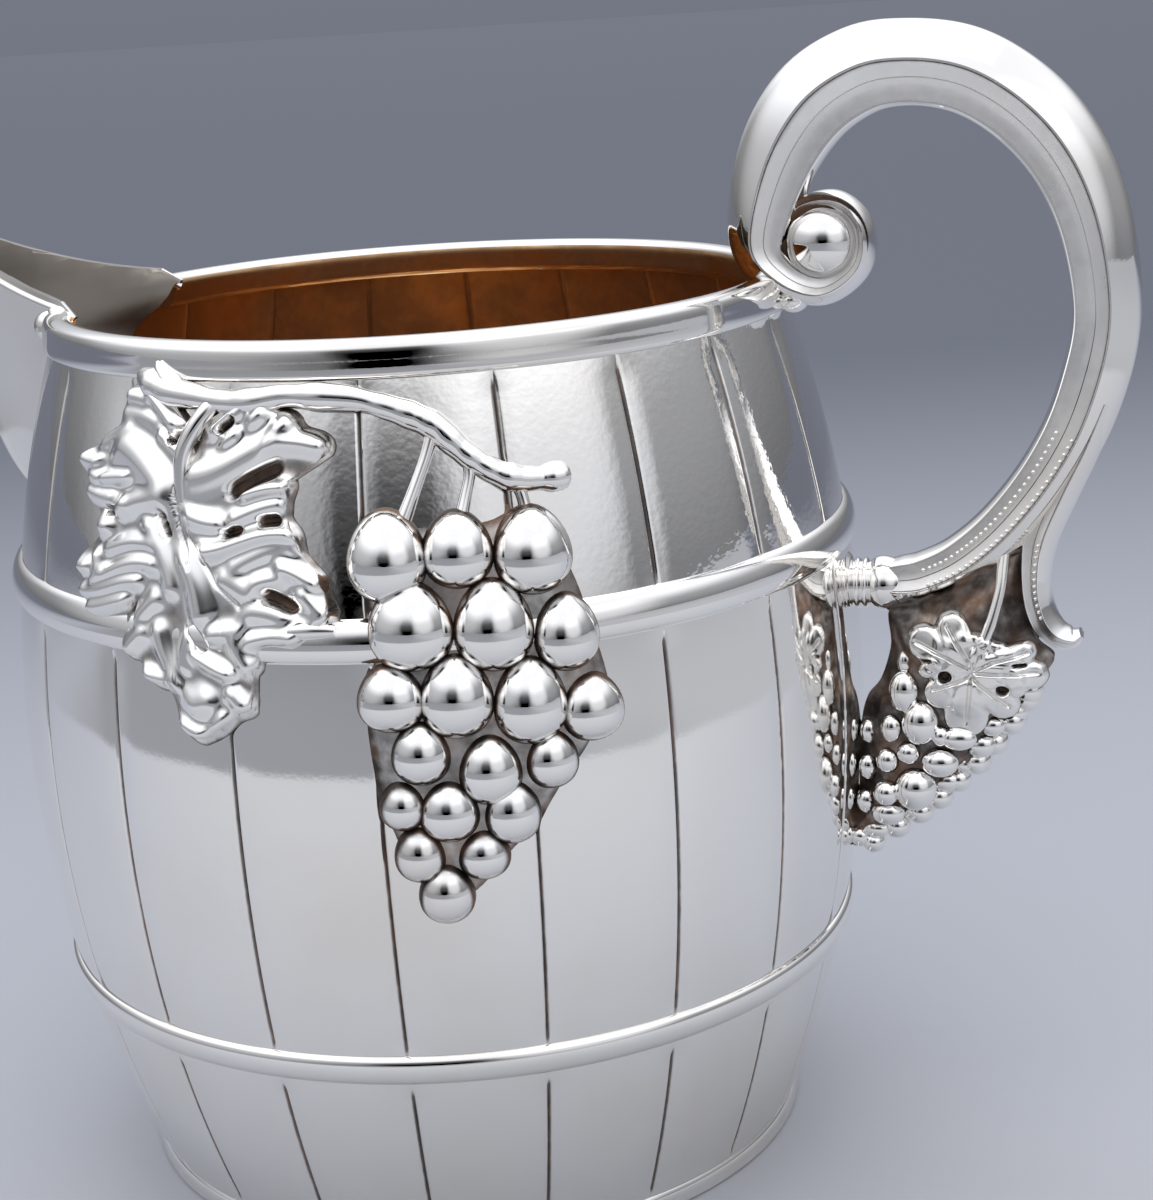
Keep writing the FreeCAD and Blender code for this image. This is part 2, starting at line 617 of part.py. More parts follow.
# Five-lobed leaf of the bracket, as distance from its middle at every 18 degrees.
LOBES = [10.5, 7.5, 5.2, 9.5, 12.0, 8.5, 6.0, 9.0, 11.5, 8.5, 5.6, 8.0, 10.8, 8.0, 5.0, 8.4, 11.0, 8.0, 5.4, 8.2]


def bracket_leaf():
    middle = bracket_point(21.5, -16.5, -size("bunch_width") / 2 - size("bracket_grape") * 0.75)
    corners = []
    for index, reach in enumerate(LOBES):
        angle = math.radians(360 * index / len(LOBES))
        corners.append(middle + FreeCAD.Vector(reach * math.cos(angle), 0, reach * math.sin(angle)))
    face = Part.Face(Part.makePolygon(corners + corners[:1]))
    return face.extrude(FreeCAD.Vector(0, -size("bracket_leaf_relief"), 0))


leaf_plate = bracket_leaf().cut(bracket_bunch_left.Shape).cut(bow).cut(handle_tail.Shape)
bracket_leaf_left = piece("bracket_leaf_left", max(leaf_plate.Solids, key=lambda solid: solid.Volume))
bracket_leaf_right = mirrored("bracket_leaf_right", bracket_leaf_left)

# Vine on the barrel: places are degrees round from the handle and drops below the rim.
BRANCH = [
    (-112.0, 7.4, 1.25), (-104.0, 8.4, 1.0), (-95.5, 9.2, 0.92), (-86.0, 8.6, 1.0), (-77.0, 10.6, 0.95),
    (-71.0, 14.0, 1.0), (-66.8, 19.0, 0.95), (-62.0, 22.6, 1.0), (-57.0, 23.4, 1.2),
]
STEMS = [((-71.0, 14.6), (-75.6, 27.6)), ((-67.6, 18.6), (-68.4, 27.0)), ((-62.0, 22.6), (-61.2, 27.6))]
GRAPES = [
    (-78.2, 32.5, 5.9), (-69.8, 32.2, 5.1), (-60.9, 33.4, 6.2), (-75.9, 43.2, 6.1), (-66.4, 44.0, 5.9),
    (-57.9, 46.5, 5.3), (-78.7, 54.2, 4.9), (-71.3, 54.5, 5.6), (-62.9, 56.3, 5.7), (-55.6, 58.8, 4.8),
    (-75.8, 63.1, 4.6), (-68.1, 66.6, 4.7), (-60.9, 66.1, 4.0), (-78.3, 71.5, 3.7), (-73.1, 72.8, 4.4),
    (-65.9, 73.8, 4.3), (-76.8, 79.6, 4.0), (-69.5, 80.4, 3.8), (-74.1, 86.5, 4.3),
]
BACKING = [
    (-79.0, 30.0), (-69.8, 29.5), (-59.0, 31.0), (-55.6, 46.0), (-54.6, 59.0), (-59.5, 67.0), (-64.5, 75.0),
    (-68.5, 82.0), (-74.0, 88.0), (-77.5, 82.0), (-79.5, 70.0), (-80.0, 54.0), (-78.0, 43.0),
]
LEAF = [
    (-114.0, 9.0), (-107.5, 14.6), (-102.0, 11.0), (-94.0, 10.4), (-87.0, 14.6), (-91.0, 20.6), (-88.4, 27.0),
    (-87.8, 32.4), (-84.6, 39.2), (-91.0, 43.4), (-94.0, 47.4), (-97.0, 55.0), (-102.2, 62.4), (-106.6, 54.0),
    (-111.6, 46.4), (-116.0, 43.0), (-122.6, 38.6), (-120.0, 32.0), (-117.0, 28.0), (-124.0, 20.0), (-121.0, 13.6),
]


def on_barrel(degrees, drop, lift=0.0):
    """Point over the wall, at an angle round the barrel and a drop below the rim"""
    height = size("body_height") - drop
    radius = barrel_radius(height) + lift
    angle = math.radians(degrees)
    return FreeCAD.Vector(radius * math.cos(angle), radius * math.sin(angle), height)


def relief_shell(lift):
    """The barrel, filled and grown by a relief"""
    belly = size("belly_radius") + lift
    points = [FreeCAD.Vector(0, 0, 0)]
    for height in (0.0, size("belly_height") / 2, size("belly_height")):
        points.append(FreeCAD.Vector(barrel_radius(height) + lift, 0, height))
    middle_height = (size("belly_height") + size("body_height")) / 2
    points.append(FreeCAD.Vector(barrel_radius(middle_height) + lift, 0, middle_height))
    points.append(FreeCAD.Vector(rim_radius + lift, 0, size("body_height")))
    points.append(FreeCAD.Vector(0, 0, size("body_height")))
    outline = Part.Wire([
        Part.makeLine(points[0], points[1]),
        Part.Arc(points[1], points[2], FreeCAD.Vector(belly, 0, size("belly_height"))).toShape(),
        Part.Arc(FreeCAD.Vector(belly, 0, size("belly_height")), points[4], points[5]).toShape(),
        Part.makeLine(points[5], points[6]),
        Part.makeLine(points[6], points[0]),
    ])
    return Part.Face(outline).revolve(FreeCAD.Vector(0, 0, 0), FreeCAD.Vector(0, 0, 1), 360)


def plate_on_barrel(places, lift):
    """Plate of one relief over the wall, cut to an outline"""
    middle = sum(degrees for degrees, _ in places) / len(places)
    out = FreeCAD.Vector(math.cos(math.radians(middle)), math.sin(math.radians(middle)), 0)
    corners = []
    for degrees, drop in places:
        point = on_barrel(degrees, drop)
        corners.append(point - out * (point.dot(out) - 30))
    prism = Part.Face(Part.makePolygon(corners + corners[:1])).extrude(out * 90)
    return prism.common(relief_shell(lift))


def rods(points, radii):
    """Tapered rods from point to point with a knot, a slightly thicker ball, at each"""
    solids = []
    for point, radius in zip(points, radii):
        solids.append(Part.makeSphere(radius * 1.1, point, FreeCAD.Vector(point.x, point.y, 0)))
    for index in range(len(points) - 1):
        span = points[index + 1] - points[index]
        thick, thin = radii[index], radii[index + 1]
        if abs(thick - thin) < 0.001:
            solids.append(Part.makeCylinder(thick, span.Length, points[index], span))
        else:
            solids.append(Part.makeCone(thick, thin, span.Length, points[index], span))
    return solids[0].multiFuse(solids[1:])


# What the vine is seated on: the filled barrel with its upper hoop and mouth band.
seat = barrel_core.Shape.fuse([upper_ring.Shape, mouth_ring.Shape])

branch_points = [on_barrel(degrees, drop, size("branch_radius") * 0.5) for degrees, drop, _ in BRANCH]
branch_radii = [size("branch_radius") * share for _, _, share in BRANCH]
branch = rods(branch_points, branch_radii).cut(seat)
vine_branch_left = piece("vine_branch_left", branch)

grapes = []
for degrees, drop, radius in GRAPES:
    centre = on_barrel(degrees, drop, 0.1 * radius)
    grapes.append(Part.makeSphere(radius, centre, FreeCAD.Vector(centre.x, centre.y, 0)))
bunch = plate_on_barrel(BACKING, size("backing_relief")).multiFuse(grapes).cut(seat)
grape_bunch_left = piece("grape_bunch_left", max(bunch.Solids, key=lambda solid: solid.Volume))

stem_solids = []
for top, foot in STEMS:
    ends = [on_barrel(degrees, drop, size("stem_radius") * 0.4) for degrees, drop in (top, foot)]
    stem_solids.append(rods(ends, [size("stem_radius")] * 2))
stems = stem_solids[0].multiFuse(stem_solids[1:])
stems = stems.cut(seat).cut(branch).cut(grape_bunch_left.Shape)
grape_stems_left = piece("grape_stems_left", stems)

leaf = plate_on_barrel(LEAF, size("leaf_relief")).cut(seat).cut(branch)
vine_leaf_left = piece("vine_leaf_left", max(leaf.Solids, key=lambda solid: solid.Volume))

vine_branch_right = mirrored("vine_branch_right", vine_branch_left)
grape_bunch_right = mirrored("grape_bunch_right", grape_bunch_left)
grape_stems_right = mirrored("grape_stems_right", grape_stems_left)
vine_leaf_right = mirrored("vine_leaf_right", vine_leaf_left)
doc.recompute()

PIECES = [
    barrel_wall, base_plate, foot_band, lower_hoop, upper_hoop, mouth_band, spout,
    handle_left_half, handle_right_half, scroll_eye_left, scroll_eye_right, handle_collar, rim_saddle,
    handle_tail, bracket_bunch_left, bracket_bunch_right, bracket_leaf_left, bracket_leaf_right,
    vine_branch_left, vine_branch_right, vine_leaf_left, vine_leaf_right,
    grape_bunch_left, grape_bunch_right, grape_stems_left, grape_stems_right,
]
for item in doc.Objects:
    if "Invalid" in item.State or "Error" in item.State:
        raise RuntimeError("%s did not build: %s" % (item.Label, item.State))
for node in PIECES:
    if node.Shape.isNull() or not node.Shape.isValid():
        raise RuntimeError("%s has no sound shape" % node.Label)

os.makedirs("parts", exist_ok=True)
for node in PIECES:
    node.Shape.exportStep("parts/%s.step" % node.Label)
    print("%-20s %d solids %9.1f mm3" % (node.Label, len(node.Shape.Solids), node.Shape.Volume))
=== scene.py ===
import math

import bmesh
import bpy
from mathutils import Matrix, Vector


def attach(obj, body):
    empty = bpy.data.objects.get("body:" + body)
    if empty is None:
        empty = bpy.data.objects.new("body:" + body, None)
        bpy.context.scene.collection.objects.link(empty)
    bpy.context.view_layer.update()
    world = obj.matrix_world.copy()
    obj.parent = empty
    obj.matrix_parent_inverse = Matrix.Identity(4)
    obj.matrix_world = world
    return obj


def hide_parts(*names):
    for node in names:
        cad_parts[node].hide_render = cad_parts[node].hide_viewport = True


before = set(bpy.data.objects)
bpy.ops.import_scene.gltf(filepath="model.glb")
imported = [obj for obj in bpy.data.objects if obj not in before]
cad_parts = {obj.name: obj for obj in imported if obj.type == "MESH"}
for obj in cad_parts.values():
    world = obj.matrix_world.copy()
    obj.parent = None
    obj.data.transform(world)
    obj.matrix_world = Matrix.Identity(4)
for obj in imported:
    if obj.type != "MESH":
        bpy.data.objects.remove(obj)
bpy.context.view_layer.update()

# The jug is drawn in millimetres, in the frame of the solids, and brought to metres
# when a mesh is finished. +X is the handle's side, -X the spout's, -Y the left side.
MM = 0.001
BODY_HEIGHT = 160.0
FOOT_RADIUS = 61.0
BELLY_RADIUS = 78.0
BELLY_HEIGHT = 84.0
MOUTH_RADIUS = 64.0
WALL = 1.2
WALL_TOP = 157.0
STAVES = 20
# Each hoop's height, its width, and how far it stands out.
UPPER_HOOP = (114.5, 7.0, 1.6)
LOWER_HOOP = (40.5, 5.6, 1.5)
FOOT_BAND_TOP = 4.2


def smooth_step(low, high, x):
    t = min(max((x - low) / (high - low), 0.0), 1.0)
    return t * t * (3 - 2 * t)


def wall_radius(z):
    """Outside of the barrel: two arcs that meet upright at the belly"""
    if z > BELLY_HEIGHT:
        end, rise = MOUTH_RADIUS, BODY_HEIGHT - BELLY_HEIGHT
    else:
        end, rise = FOOT_RADIUS, BELLY_HEIGHT
    arc = ((BELLY_RADIUS - end) ** 2 + rise ** 2) / (2 * (BELLY_RADIUS - end))
    return BELLY_RADIUS - arc + math.sqrt(arc ** 2 - (z - BELLY_HEIGHT) ** 2)


def wall_slope(z):
    """Change of the wall's radius over one millimetre of height"""
    return wall_radius(z + 0.5) - wall_radius(z - 0.5)


def on_barrel(degrees, z, lift):
    """Point a lift above the wall, square to it"""
    slope = wall_slope(z)
    scale = 1 / math.hypot(1, slope)
    radius = wall_radius(z) + lift * scale
    angle = math.radians(degrees)
    return Vector((radius * math.cos(angle), radius * math.sin(angle), z - lift * slope * scale))


def cubic(p0, p1, p2, p3, t):
    """Spot on the smooth span from p1 to p2, at a share of it"""
    return tuple(
        0.5 * (2 * b + (c - a) * t + (2 * a - 5 * b + 4 * c - d) * t * t
               + (3 * b - a - 3 * c + d) * t ** 3)
        for a, b, c, d in zip(p0, p1, p2, p3)
    )


def catmull(points, per_span):
    """Smooth row of tuples through the given ones"""
    row = []
    last = len(points) - 1
    for index in range(last):
        span = [points[min(max(index + k, 0), last)] for k in (-1, 0, 1, 2)]
        row += [cubic(*span, step / per_span) for step in range(per_span)]
    row.append(tuple(points[-1]))
    return row


def around(edge, turn):
    """Spot on a closed edge at a share of its turn"""
    count = len(edge)
    place = turn % 1.0 * count
    index = int(place)
    span = [edge[(index + k) % count] for k in (-1, 0, 1, 2)]
    return cubic(*span, place - index)


# Finishes


class Socket:
    """An output of a node that arithmetic can be written on"""

    def __init__(self, wiring, output):
        self.wiring = wiring
        self.output = output

    def _math(self, operation, *values):
        return self.wiring.node("ShaderNodeMath", {"operation": operation}, dict(enumerate(values)))

    def __add__(self, other):
        return self._math("ADD", self, other)

    __radd__ = __add__

    def __mul__(self, other):
        return self._math("MULTIPLY", self, other)

    __rmul__ = __mul__

    def __sub__(self, other):
        return self._math("SUBTRACT", self, other)

    def __rsub__(self, other):
        return self._math("SUBTRACT", other, self)

    def between(self, low, high):
        """0 below low, 1 above high, smooth in between"""
        inputs = {"Value": self, "From Min": low, "From Max": high}
        return self.wiring.node("ShaderNodeMapRange", {"interpolation_type": "SMOOTHSTEP"}, inputs)


class Wiring:
    """A tree that nodes are added to"""

    def __init__(self, tree):
        self.tree = tree

    def node(self, kind, settings=None, inputs=None, output=0):
        made = self.tree.nodes.new(kind)
        for name, value in (settings or {}).items():
            setattr(made, name, value)
        self.feed(made, inputs or {})
        return Socket(self, made.outputs[output])

    def feed(self, made, inputs):
        for name, value in inputs.items():
            if isinstance(value, Socket):
                self.tree.links.new(value.output, made.inputs[name])
            else:
                made.inputs[name].default_value = value

    def mix(self, share, first, second):
        """Colour between two; a Mix node keeps its colour sockets behind those for numbers"""
        inputs = {0: share, 6: first, 7: second}
        return self.node("ShaderNodeMix", {"data_type": "RGBA"}, inputs, output=2)


class Finish(Wiring):
    """A material with a principled shader"""

    def __init__(self, name):
        self.material = bpy.data.materials.new(name)
        self.material.use_nodes = True
        super().__init__(self.material.node_tree)
        self.shader = self.tree.nodes["Principled BSDF"]

    def principled(self, **inputs):
        self.feed(self.shader, {name.replace("_", " "): value for name, value in inputs.items()})

    def place(self):
        return self.node("ShaderNodeTexCoord", output="Object")

    def noise(self, scale, detail, roughness=0.5):
        inputs = {"Vector": self.place(), "Scale": scale, "Detail": detail, "Roughness": roughness}
        return self.node("ShaderNodeTexNoise", {}, inputs)

    def attribute(self, name):
        return self.node("ShaderNodeAttribute", {"attribute_name": name}, output="Fac")

    def bump(self, height, strength, distance):
        inputs = {"Height": height, "Strength": strength, "Distance": distance}
        return self.node("ShaderNodeBump", {}, inputs)


SILVER = (0.93, 0.915, 0.89, 1)
WARM_SILVER = (0.88, 0.845, 0.79, 1)
OXIDE = (0.045, 0.032, 0.024, 1)
BROWN_OXIDE = (0.16, 0.085, 0.05, 1)
# The next two tones are silver painted darker for the spout's inside: painted shade.
SHADED_SILVER = (0.25, 0.224, 0.195, 1)
DEEP_SHADED_SILVER = (0.15, 0.13, 0.11, 1)
GILT = (0.80, 0.54, 0.30, 1)
BROWNED_GILT = (0.43, 0.25, 0.125, 1)


def polished_silver(
    name, polish=0.035, oxide=0.0, ripple=0.0, dull=0.0, clean=SILVER, tarnished=WARM_SILVER
):
    """Mirror silver with hairline wear; oxide, ripple and dullness follow the piece's own attributes"""
    finish = Finish(name)
    cloud = finish.noise(22.0, 4.0)
    colour = finish.mix(cloud.between(0.45, 0.75), clean, tarnished)
    rough = cloud * 0.03 + polish
    height = finish.noise(1400.0, 2.0) * 0.02
    if oxide:
        worn = finish.noise(420.0, 3.0)
        dark = (finish.attribute("oxide") * (worn * 0.7 + 0.65)).between(0.18, 0.9) * oxide
        stain = finish.mix(finish.noise(160.0, 3.0).between(0.4, 0.65), OXIDE, BROWN_OXIDE)
        colour = finish.mix(dark, colour, stain)
        rough = rough + dark * 0.4
    if dull:
        filed = finish.attribute("dull")
        grain = finish.noise(700.0, 4.0)
        smear = finish.noise(95.0, 3.0)
        rough = rough + filed * dull * (grain * 0.5 + smear * 0.9)
        height = height + filed * grain * 0.1
    if ripple:
        height = height + finish.noise(800.0, 1.5) * finish.attribute("ripple") * ripple
    scratched = finish.bump(height, 0.35, 0.0004)
    finish.principled(Base_Color=colour, Roughness=rough, Metallic=1.0, Normal=scratched)
    return finish.material


def aged_gilding(name):
    """Gilt lining, browned in clouds and streaks"""
    finish = Finish(name)
    cloud = finish.noise(30.0, 5.0, 0.6)
    spots = finish.noise(140.0, 4.0)
    browned = (cloud * 0.7 + spots * 0.3).between(0.4, 0.62)
    finish.principled(
        Base_Color=finish.mix(browned, GILT, BROWNED_GILT),
        Roughness=browned * 0.2 + 0.28,
        Metallic=1.0,
        Normal=finish.bump(spots, 0.25, 0.0005),
    )
    return finish.material


silver = polished_silver("polished_silver")
stave_silver = polished_silver("stave_silver", oxide=0.85, ripple=0.2)
handle_silver = polished_silver("handle_silver", oxide=0.8, dull=0.42)
chased_silver = polished_silver("chased_silver", polish=0.05, oxide=0.97)
leaf_silver = polished_silver("leaf_silver", polish=0.15, oxide=0.97)
# The spout's inside is silver with its tone painted dark: painted shade.
spout_inside_painted_shade = polished_silver("spout_inside_painted_shade", polish=0.16, clean=SHADED_SILVER, tarnished=DEEP_SHADED_SILVER)
gilding = aged_gilding("aged_gilding")

# Mesh helpers


def mark_sharp(bm, degrees):
    for edge in bm.edges:
        if len(edge.link_faces) == 2 and edge.calc_face_angle(0.0) > math.radians(degrees):
            edge.smooth = False


def enrol(name, mesh, nodes):
    """Put a mesh in the scene as a piece of the jug that stands for nodes"""
    piece = bpy.data.objects.new(name, mesh)
    bpy.context.scene.collection.objects.link(piece)
    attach(piece, "root")
    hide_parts(*nodes)
    return piece


def finished(name, bm, materials, nodes, sharp=38):
    """Turn a mesh in millimetres into a piece; edges past the sharp angle stay hard"""
    for face in bm.faces:
        face.smooth = True
    mark_sharp(bm, sharp)
    bmesh.ops.scale(bm, vec=(MM, MM, MM), verts=bm.verts)
    mesh = bpy.data.meshes.new(name)
    bm.to_mesh(mesh)
    bm.free()
    for material in materials:
        mesh.materials.append(material)
    return enrol(name, mesh, nodes)


def twin(piece, name, nodes):
    """The same piece on the right side"""
    mesh = piece.data.copy()
    mesh.name = name
    mesh.transform(Matrix.Scale(-1, 4, (0, 1, 0)))
    mesh.flip_normals()
    enrol(name, mesh, nodes)


def lathe(outline, steps, closed=True, axis=(0, 0, 1), centre=(0, 0, 0)):
    """Turn an outline of (radius, height) pairs about an axis through a centre"""
    bm = bmesh.new()
    verts = [bm.verts.new((radius, 0, z)) for radius, z in outline]
    edges = [bm.edges.new(pair) for pair in zip(verts, verts[1:])]
    if closed:
        edges.append(bm.edges.new((verts[-1], verts[0])))
    bmesh.ops.spin(
        bm, geom=verts + edges, cent=(0, 0, 0), axis=(0, 0, 1),
        angle=math.tau, steps=steps, use_merge=True,
    )
    bmesh.ops.remove_doubles(bm, verts=bm.verts, dist=1e-5)
    bmesh.ops.recalc_face_normals(bm, faces=bm.faces)
    upright = Vector((0, 0, 1)).rotation_difference(Vector(axis)).to_matrix()
    bmesh.ops.rotate(bm, matrix=upright, verts=bm.verts)
    bmesh.ops.translate(bm, vec=centre, verts=bm.verts)
    return bm


def placement(middle, out, across, half_depth, half_width):
    """Matrix that carries a unit section to a station"""
    along = out.cross(across)
    turn = Matrix((out, across, along)).transposed().to_4x4()
    return Matrix.Translation(middle) @ turn @ Matrix.Diagonal((half_depth, half_width, 1, 1))


def swept(section, places, bm=None):
    """Extrude a unit section from place to place, closed at both ends"""
    bm = bm or bmesh.new()
    oxide = bm.verts.layers.float.get("oxide") or bm.verts.layers.float.new("oxide")
    dull = bm.verts.layers.float.get("dull") or bm.verts.layers.float.new("dull")
    verts = []
    for a, b, dark, filed in section:
        vert = bm.verts.new(places[0] @ Vector((a, b, 0)))
        vert[oxide], vert[dull] = dark, filed
        verts.append(vert)
    edges = [bm.edges.new(pair) for pair in zip(verts, verts[1:] + verts[:1])]
    first = edges
    for before, after in zip(places, places[1:]):
        made = bmesh.ops.extrude_edge_only(bm, edges=edges)["geom"]
        moved = [item for item in made if isinstance(item, bmesh.types.BMVert)]
        edges = [item for item in made if isinstance(item, bmesh.types.BMEdge)]
        ring = set(moved)
        edges = [edge for edge in edges if ring.issuperset(edge.verts)]
        bmesh.ops.transform(bm, matrix=after @ before.inverted(), verts=moved)
    bmesh.ops.contextual_create(bm, geom=first)
    bmesh.ops.contextual_create(bm, geom=edges)
    bmesh.ops.recalc_face_normals(bm, faces=bm.faces)
    return bm


def round_section(count):
    turns = [math.tau * step / count for step in range(count)]
    return [(math.cos(turn), math.sin(turn), 0.0, 0.0) for turn in turns]


def tube(bm, line, radii, outs, sides):
    """Round tube along a row of points; outs point from them to its outer side"""
    places = []
    for index, (point, radius, out) in enumerate(zip(line, radii, outs)):
        along = (line[min(index + 1, len(line) - 1)] - line[max(index - 1, 0)]).normalized()
        across = along.cross(out).normalized()
        places.append(placement(point, across.cross(along), across, radius, radius))
    return swept(round_section(sides), places, bm)


def turned_under(v, rim):
    """Share of the way from a sheet's middle to its edge, and whether v is on the
    underside, which runs back to the middle past the rim"""
    return ((1 - v) / (1 - rim), True) if v > rim else (v / rim, False)


def draped(columns, rows, place):
    """A closed sheet of columns by rows; place gives each corner's point and oxide"""
    bm = bmesh.new()
    oxide = bm.verts.layers.float.new("oxide")
    bmesh.ops.create_grid(bm, x_segments=columns, y_segments=rows, size=0.5)
    for vert in bm.verts:
        vert.co, vert[oxide] = place(vert.co.x + 0.5, vert.co.y + 0.5)
    bmesh.ops.remove_doubles(bm, verts=bm.verts, dist=1e-3)
    bmesh.ops.recalc_face_normals(bm, faces=bm.faces)
    return bm


# Barrel

GROOVE_RUNS = [(UPPER_HOOP[0] + 3.0, 152.4), (LOWER_HOOP[0] + 2.6, 109.8), (FOOT_BAND_TOP, 36.6)]
CUT_DEPTH, CUT_HALF_WIDTH = 0.42, 0.62
SHOULDER_DEPTH, SHOULDER_REACH = 0.3, 2.6
# Distances from a stave's line, in millimetres, at which the wall's columns stand.
COLUMNS = [0.0, 0.16, 0.32, 0.5, 0.75, 1.1, 1.6, 2.3, 3.3, 4.6, 6.2, 8.0, 9.9]


def groove_share(z):
    """How deep a stave line is cut at a height, as a share"""
    return max(
        smooth_step(low - 0.6, low + 1.4, z) * (1 - smooth_step(high - 1.4, high + 0.6, z))
        for low, high in GROOVE_RUNS
    )


def stave_dip(distance):
    """Depth of the wall below its round, by the distance from the line: cut and soft shoulder"""
    cut = CUT_DEPTH * max(0.0, 1 - distance / CUT_HALF_WIDTH) ** 1.2
    shoulder = SHOULDER_DEPTH * math.exp(-(distance / SHOULDER_REACH) ** 2)
    return cut, shoulder


def rows_between(low, high, count):
    return [low + (high - low) * i / (count - 1) for i in range(count)]


def barrel():
    outside = [(wall_radius(z), z) for z in rows_between(0.0, WALL_TOP, 82)]
    inside = [(wall_radius(z) - WALL, z) for z in rows_between(WALL_TOP, 0.0, 60)]
    half = len(COLUMNS) - 1
    per_stave = 2 * half + 1
    bm = lathe(outside + inside, STAVES * per_stave)
    oxide = bm.verts.layers.float.new("oxide")
    ripple = bm.verts.layers.float.new("ripple")
    turn = math.tau / STAVES
    column_turn = turn / per_stave
    for vert in bm.verts:
        radius = math.hypot(vert.co.x, vert.co.y)
        z = vert.co.z
        column = round(math.atan2(vert.co.y, vert.co.x) / column_turn)
        stave, place = divmod(column + half, per_stave)
        place -= half
        distance = COLUMNS[abs(place)]
        reach = turn * 0.5 * radius
        aside = math.copysign(distance / COLUMNS[-1] * 0.955, place)
        angle = (stave + 0.5) * turn + aside * reach / radius
        cut, shoulder = stave_dip(distance * reach / COLUMNS[-1])
        share = groove_share(z)
        is_inside = radius < wall_radius(z) - WALL / 2
        radius -= (cut + shoulder) * share * (0.8 if is_inside else 1.0)
        vert.co.x = radius * math.cos(angle)
        vert.co.y = radius * math.sin(angle)
        vert[oxide] = min(1.0, cut / CUT_DEPTH * 1.3) * share
        towards_handle = smooth_step(-0.2, 0.5, math.cos(angle + 0.6))
        vert[ripple] = smooth_step(112, 125, z) * (0.35 + 0.65 * towards_handle)
    for face in bm.faces:
        centre = face.calc_center_median()
        depth = wall_radius(centre.z) - math.hypot(centre.x, centre.y)
        face.material_index = 1 if depth > WALL * 0.55 else 0
    open_for_spout(bm)
    return bm


# Cuts for the spout reach only the faces beyond this x, on its side of the jug.
SPOUT_SIDE = -40.0


def cut_for_spout(bm, planes, floor, is_gone):
    """Slice the faces above a floor at planes, given by a spot and a normal, and take some away"""
    def near():
        middles = ((face, face.calc_center_median()) for face in bm.faces)
        return [(face, at) for face, at in middles if at.x < SPOUT_SIDE and at.z > floor]

    for spot, normal in planes:
        faces = [face for face, at in near()]
        verts = {vert for face in faces for vert in face.verts}
        edges = {edge for face in faces for edge in face.edges}
        geom = list(verts) + list(edges) + faces
        bmesh.ops.bisect_plane(bm, geom=geom, dist=1e-4, plane_co=spot, plane_no=normal)
    gone = [face for face, at in near() if is_gone(at)]
    bmesh.ops.delete(bm, geom=gone, context="FACES")


# The wall is cut away behind the spout in a V, seen from the front: height and half width.
V_FOOT = (119.6, 2.2)
V_TOP = (BODY_HEIGHT, 21.6)
V_SLANT = (V_TOP[1] - V_FOOT[1]) / (V_TOP[0] - V_FOOT[0])
# Faces of the wall below this height are left whole.
V_FLOOR = 112.0


def open_for_spout(bm):
    planes = [((0, side * V_FOOT[1], V_FOOT[0]), (0, side, -V_SLANT)) for side in (1, -1)]

    def is_gone(at):
        return abs(at.y) < V_FOOT[1] + V_SLANT * (at.z - V_FOOT[0]) - 1e-3

    cut_for_spout(bm, planes, V_FLOOR, is_gone)
    open_edges = [edge for edge in bm.edges if edge.is_boundary]
    for side in (1, -1):
        walls = []
        for edge in open_edges:
            if all(vert.co.y * side > -1e-3 for vert in edge.verts):
                middle = [wall_radius(vert.co.z) - 0.8 * WALL for vert in edge.verts]
                outer = [math.hypot(*vert.co.xy) > r for vert, r in zip(edge.verts, middle)]
                if outer[0] == outer[1]:
                    walls.append(edge)
        bmesh.ops.bridge_loops(bm, edges=walls)
    bmesh.ops.holes_fill(bm, edges=[edge for edge in bm.edges if edge.is_boundary])


finished("jug_barrel", barrel(), [stave_silver, gilding], ["barrel_wall"],
         sharp=60)


def hoop(z, width, proud):
    """Half-round hoop on the wall"""
    low, high = z - width / 2, z + width / 2
    outline = []
    for step in range(17):
        t = step / 16
        height = low + width * t
        outline.append((wall_radius(height) + proud * (1 - (2 * t - 1) ** 2) ** 0.6 - 0.04, height))
    back = [(wall_radius(high) - 0.5, high), (wall_radius(low) - 0.5, low)]
    return lathe(outline + back, 240)


finished("lower_barrel_hoop", hoop(*LOWER_HOOP), [silver], ["lower_hoop"])
finished("upper_barrel_hoop", hoop(*UPPER_HOOP), [silver], ["upper_hoop"])

# Outlines of the foot band and the bottom, as radii and heights.
FOOT_BAND = [
    (60.2, 0.0), (62.4, 0.0), (62.9, 0.5), (63.0, 1.6), (62.9, 2.8), (62.6, 3.6), (62.1, 4.1),
    (61.6, 4.3), (60.6, 4.2),
]
BASE = [
    (0.0, 4.7), (20.0, 4.65), (40.0, 4.6), (60.2, 4.6), (61.0, 4.0), (60.8, 3.0), (40.0, 3.1),
    (20.0, 3.2), (0.0, 3.2),
]

finished("foot_ring_band", lathe(FOOT_BAND, 240), [silver], ["foot_band"])
base = lathe(BASE, 160, closed=False)
finished("jug_base", base, [gilding], ["base_plate"])

# The mouth band laps the wall, rounds over the top and ends against the spout.
MOUTH_BAND = [
    (65.6, 153.7), (66.6, 153.8), (67.1, 154.3), (67.2, 155.2), (67.1, 156.4), (67.0, 157.6),
    (66.8, 158.7), (66.2, 159.5), (64.9, 159.9), (63.5, 159.9), (62.5, 159.6), (61.95, 158.9),
    (61.8, 157.9), (62.2, 156.2), (62.6, 154.6), (63.4, 153.6),
]
# The band is gilt inside this radius, up to this height.
GILT_RADIUS, GILT_TOP = 62.6, 158.8
# The spout's sides run straight from the joints to the nose; the band is cut to them.
SIDE_JOINT = (60.2, 22.0)
SIDE_NOSE = (96.0, 3.6)


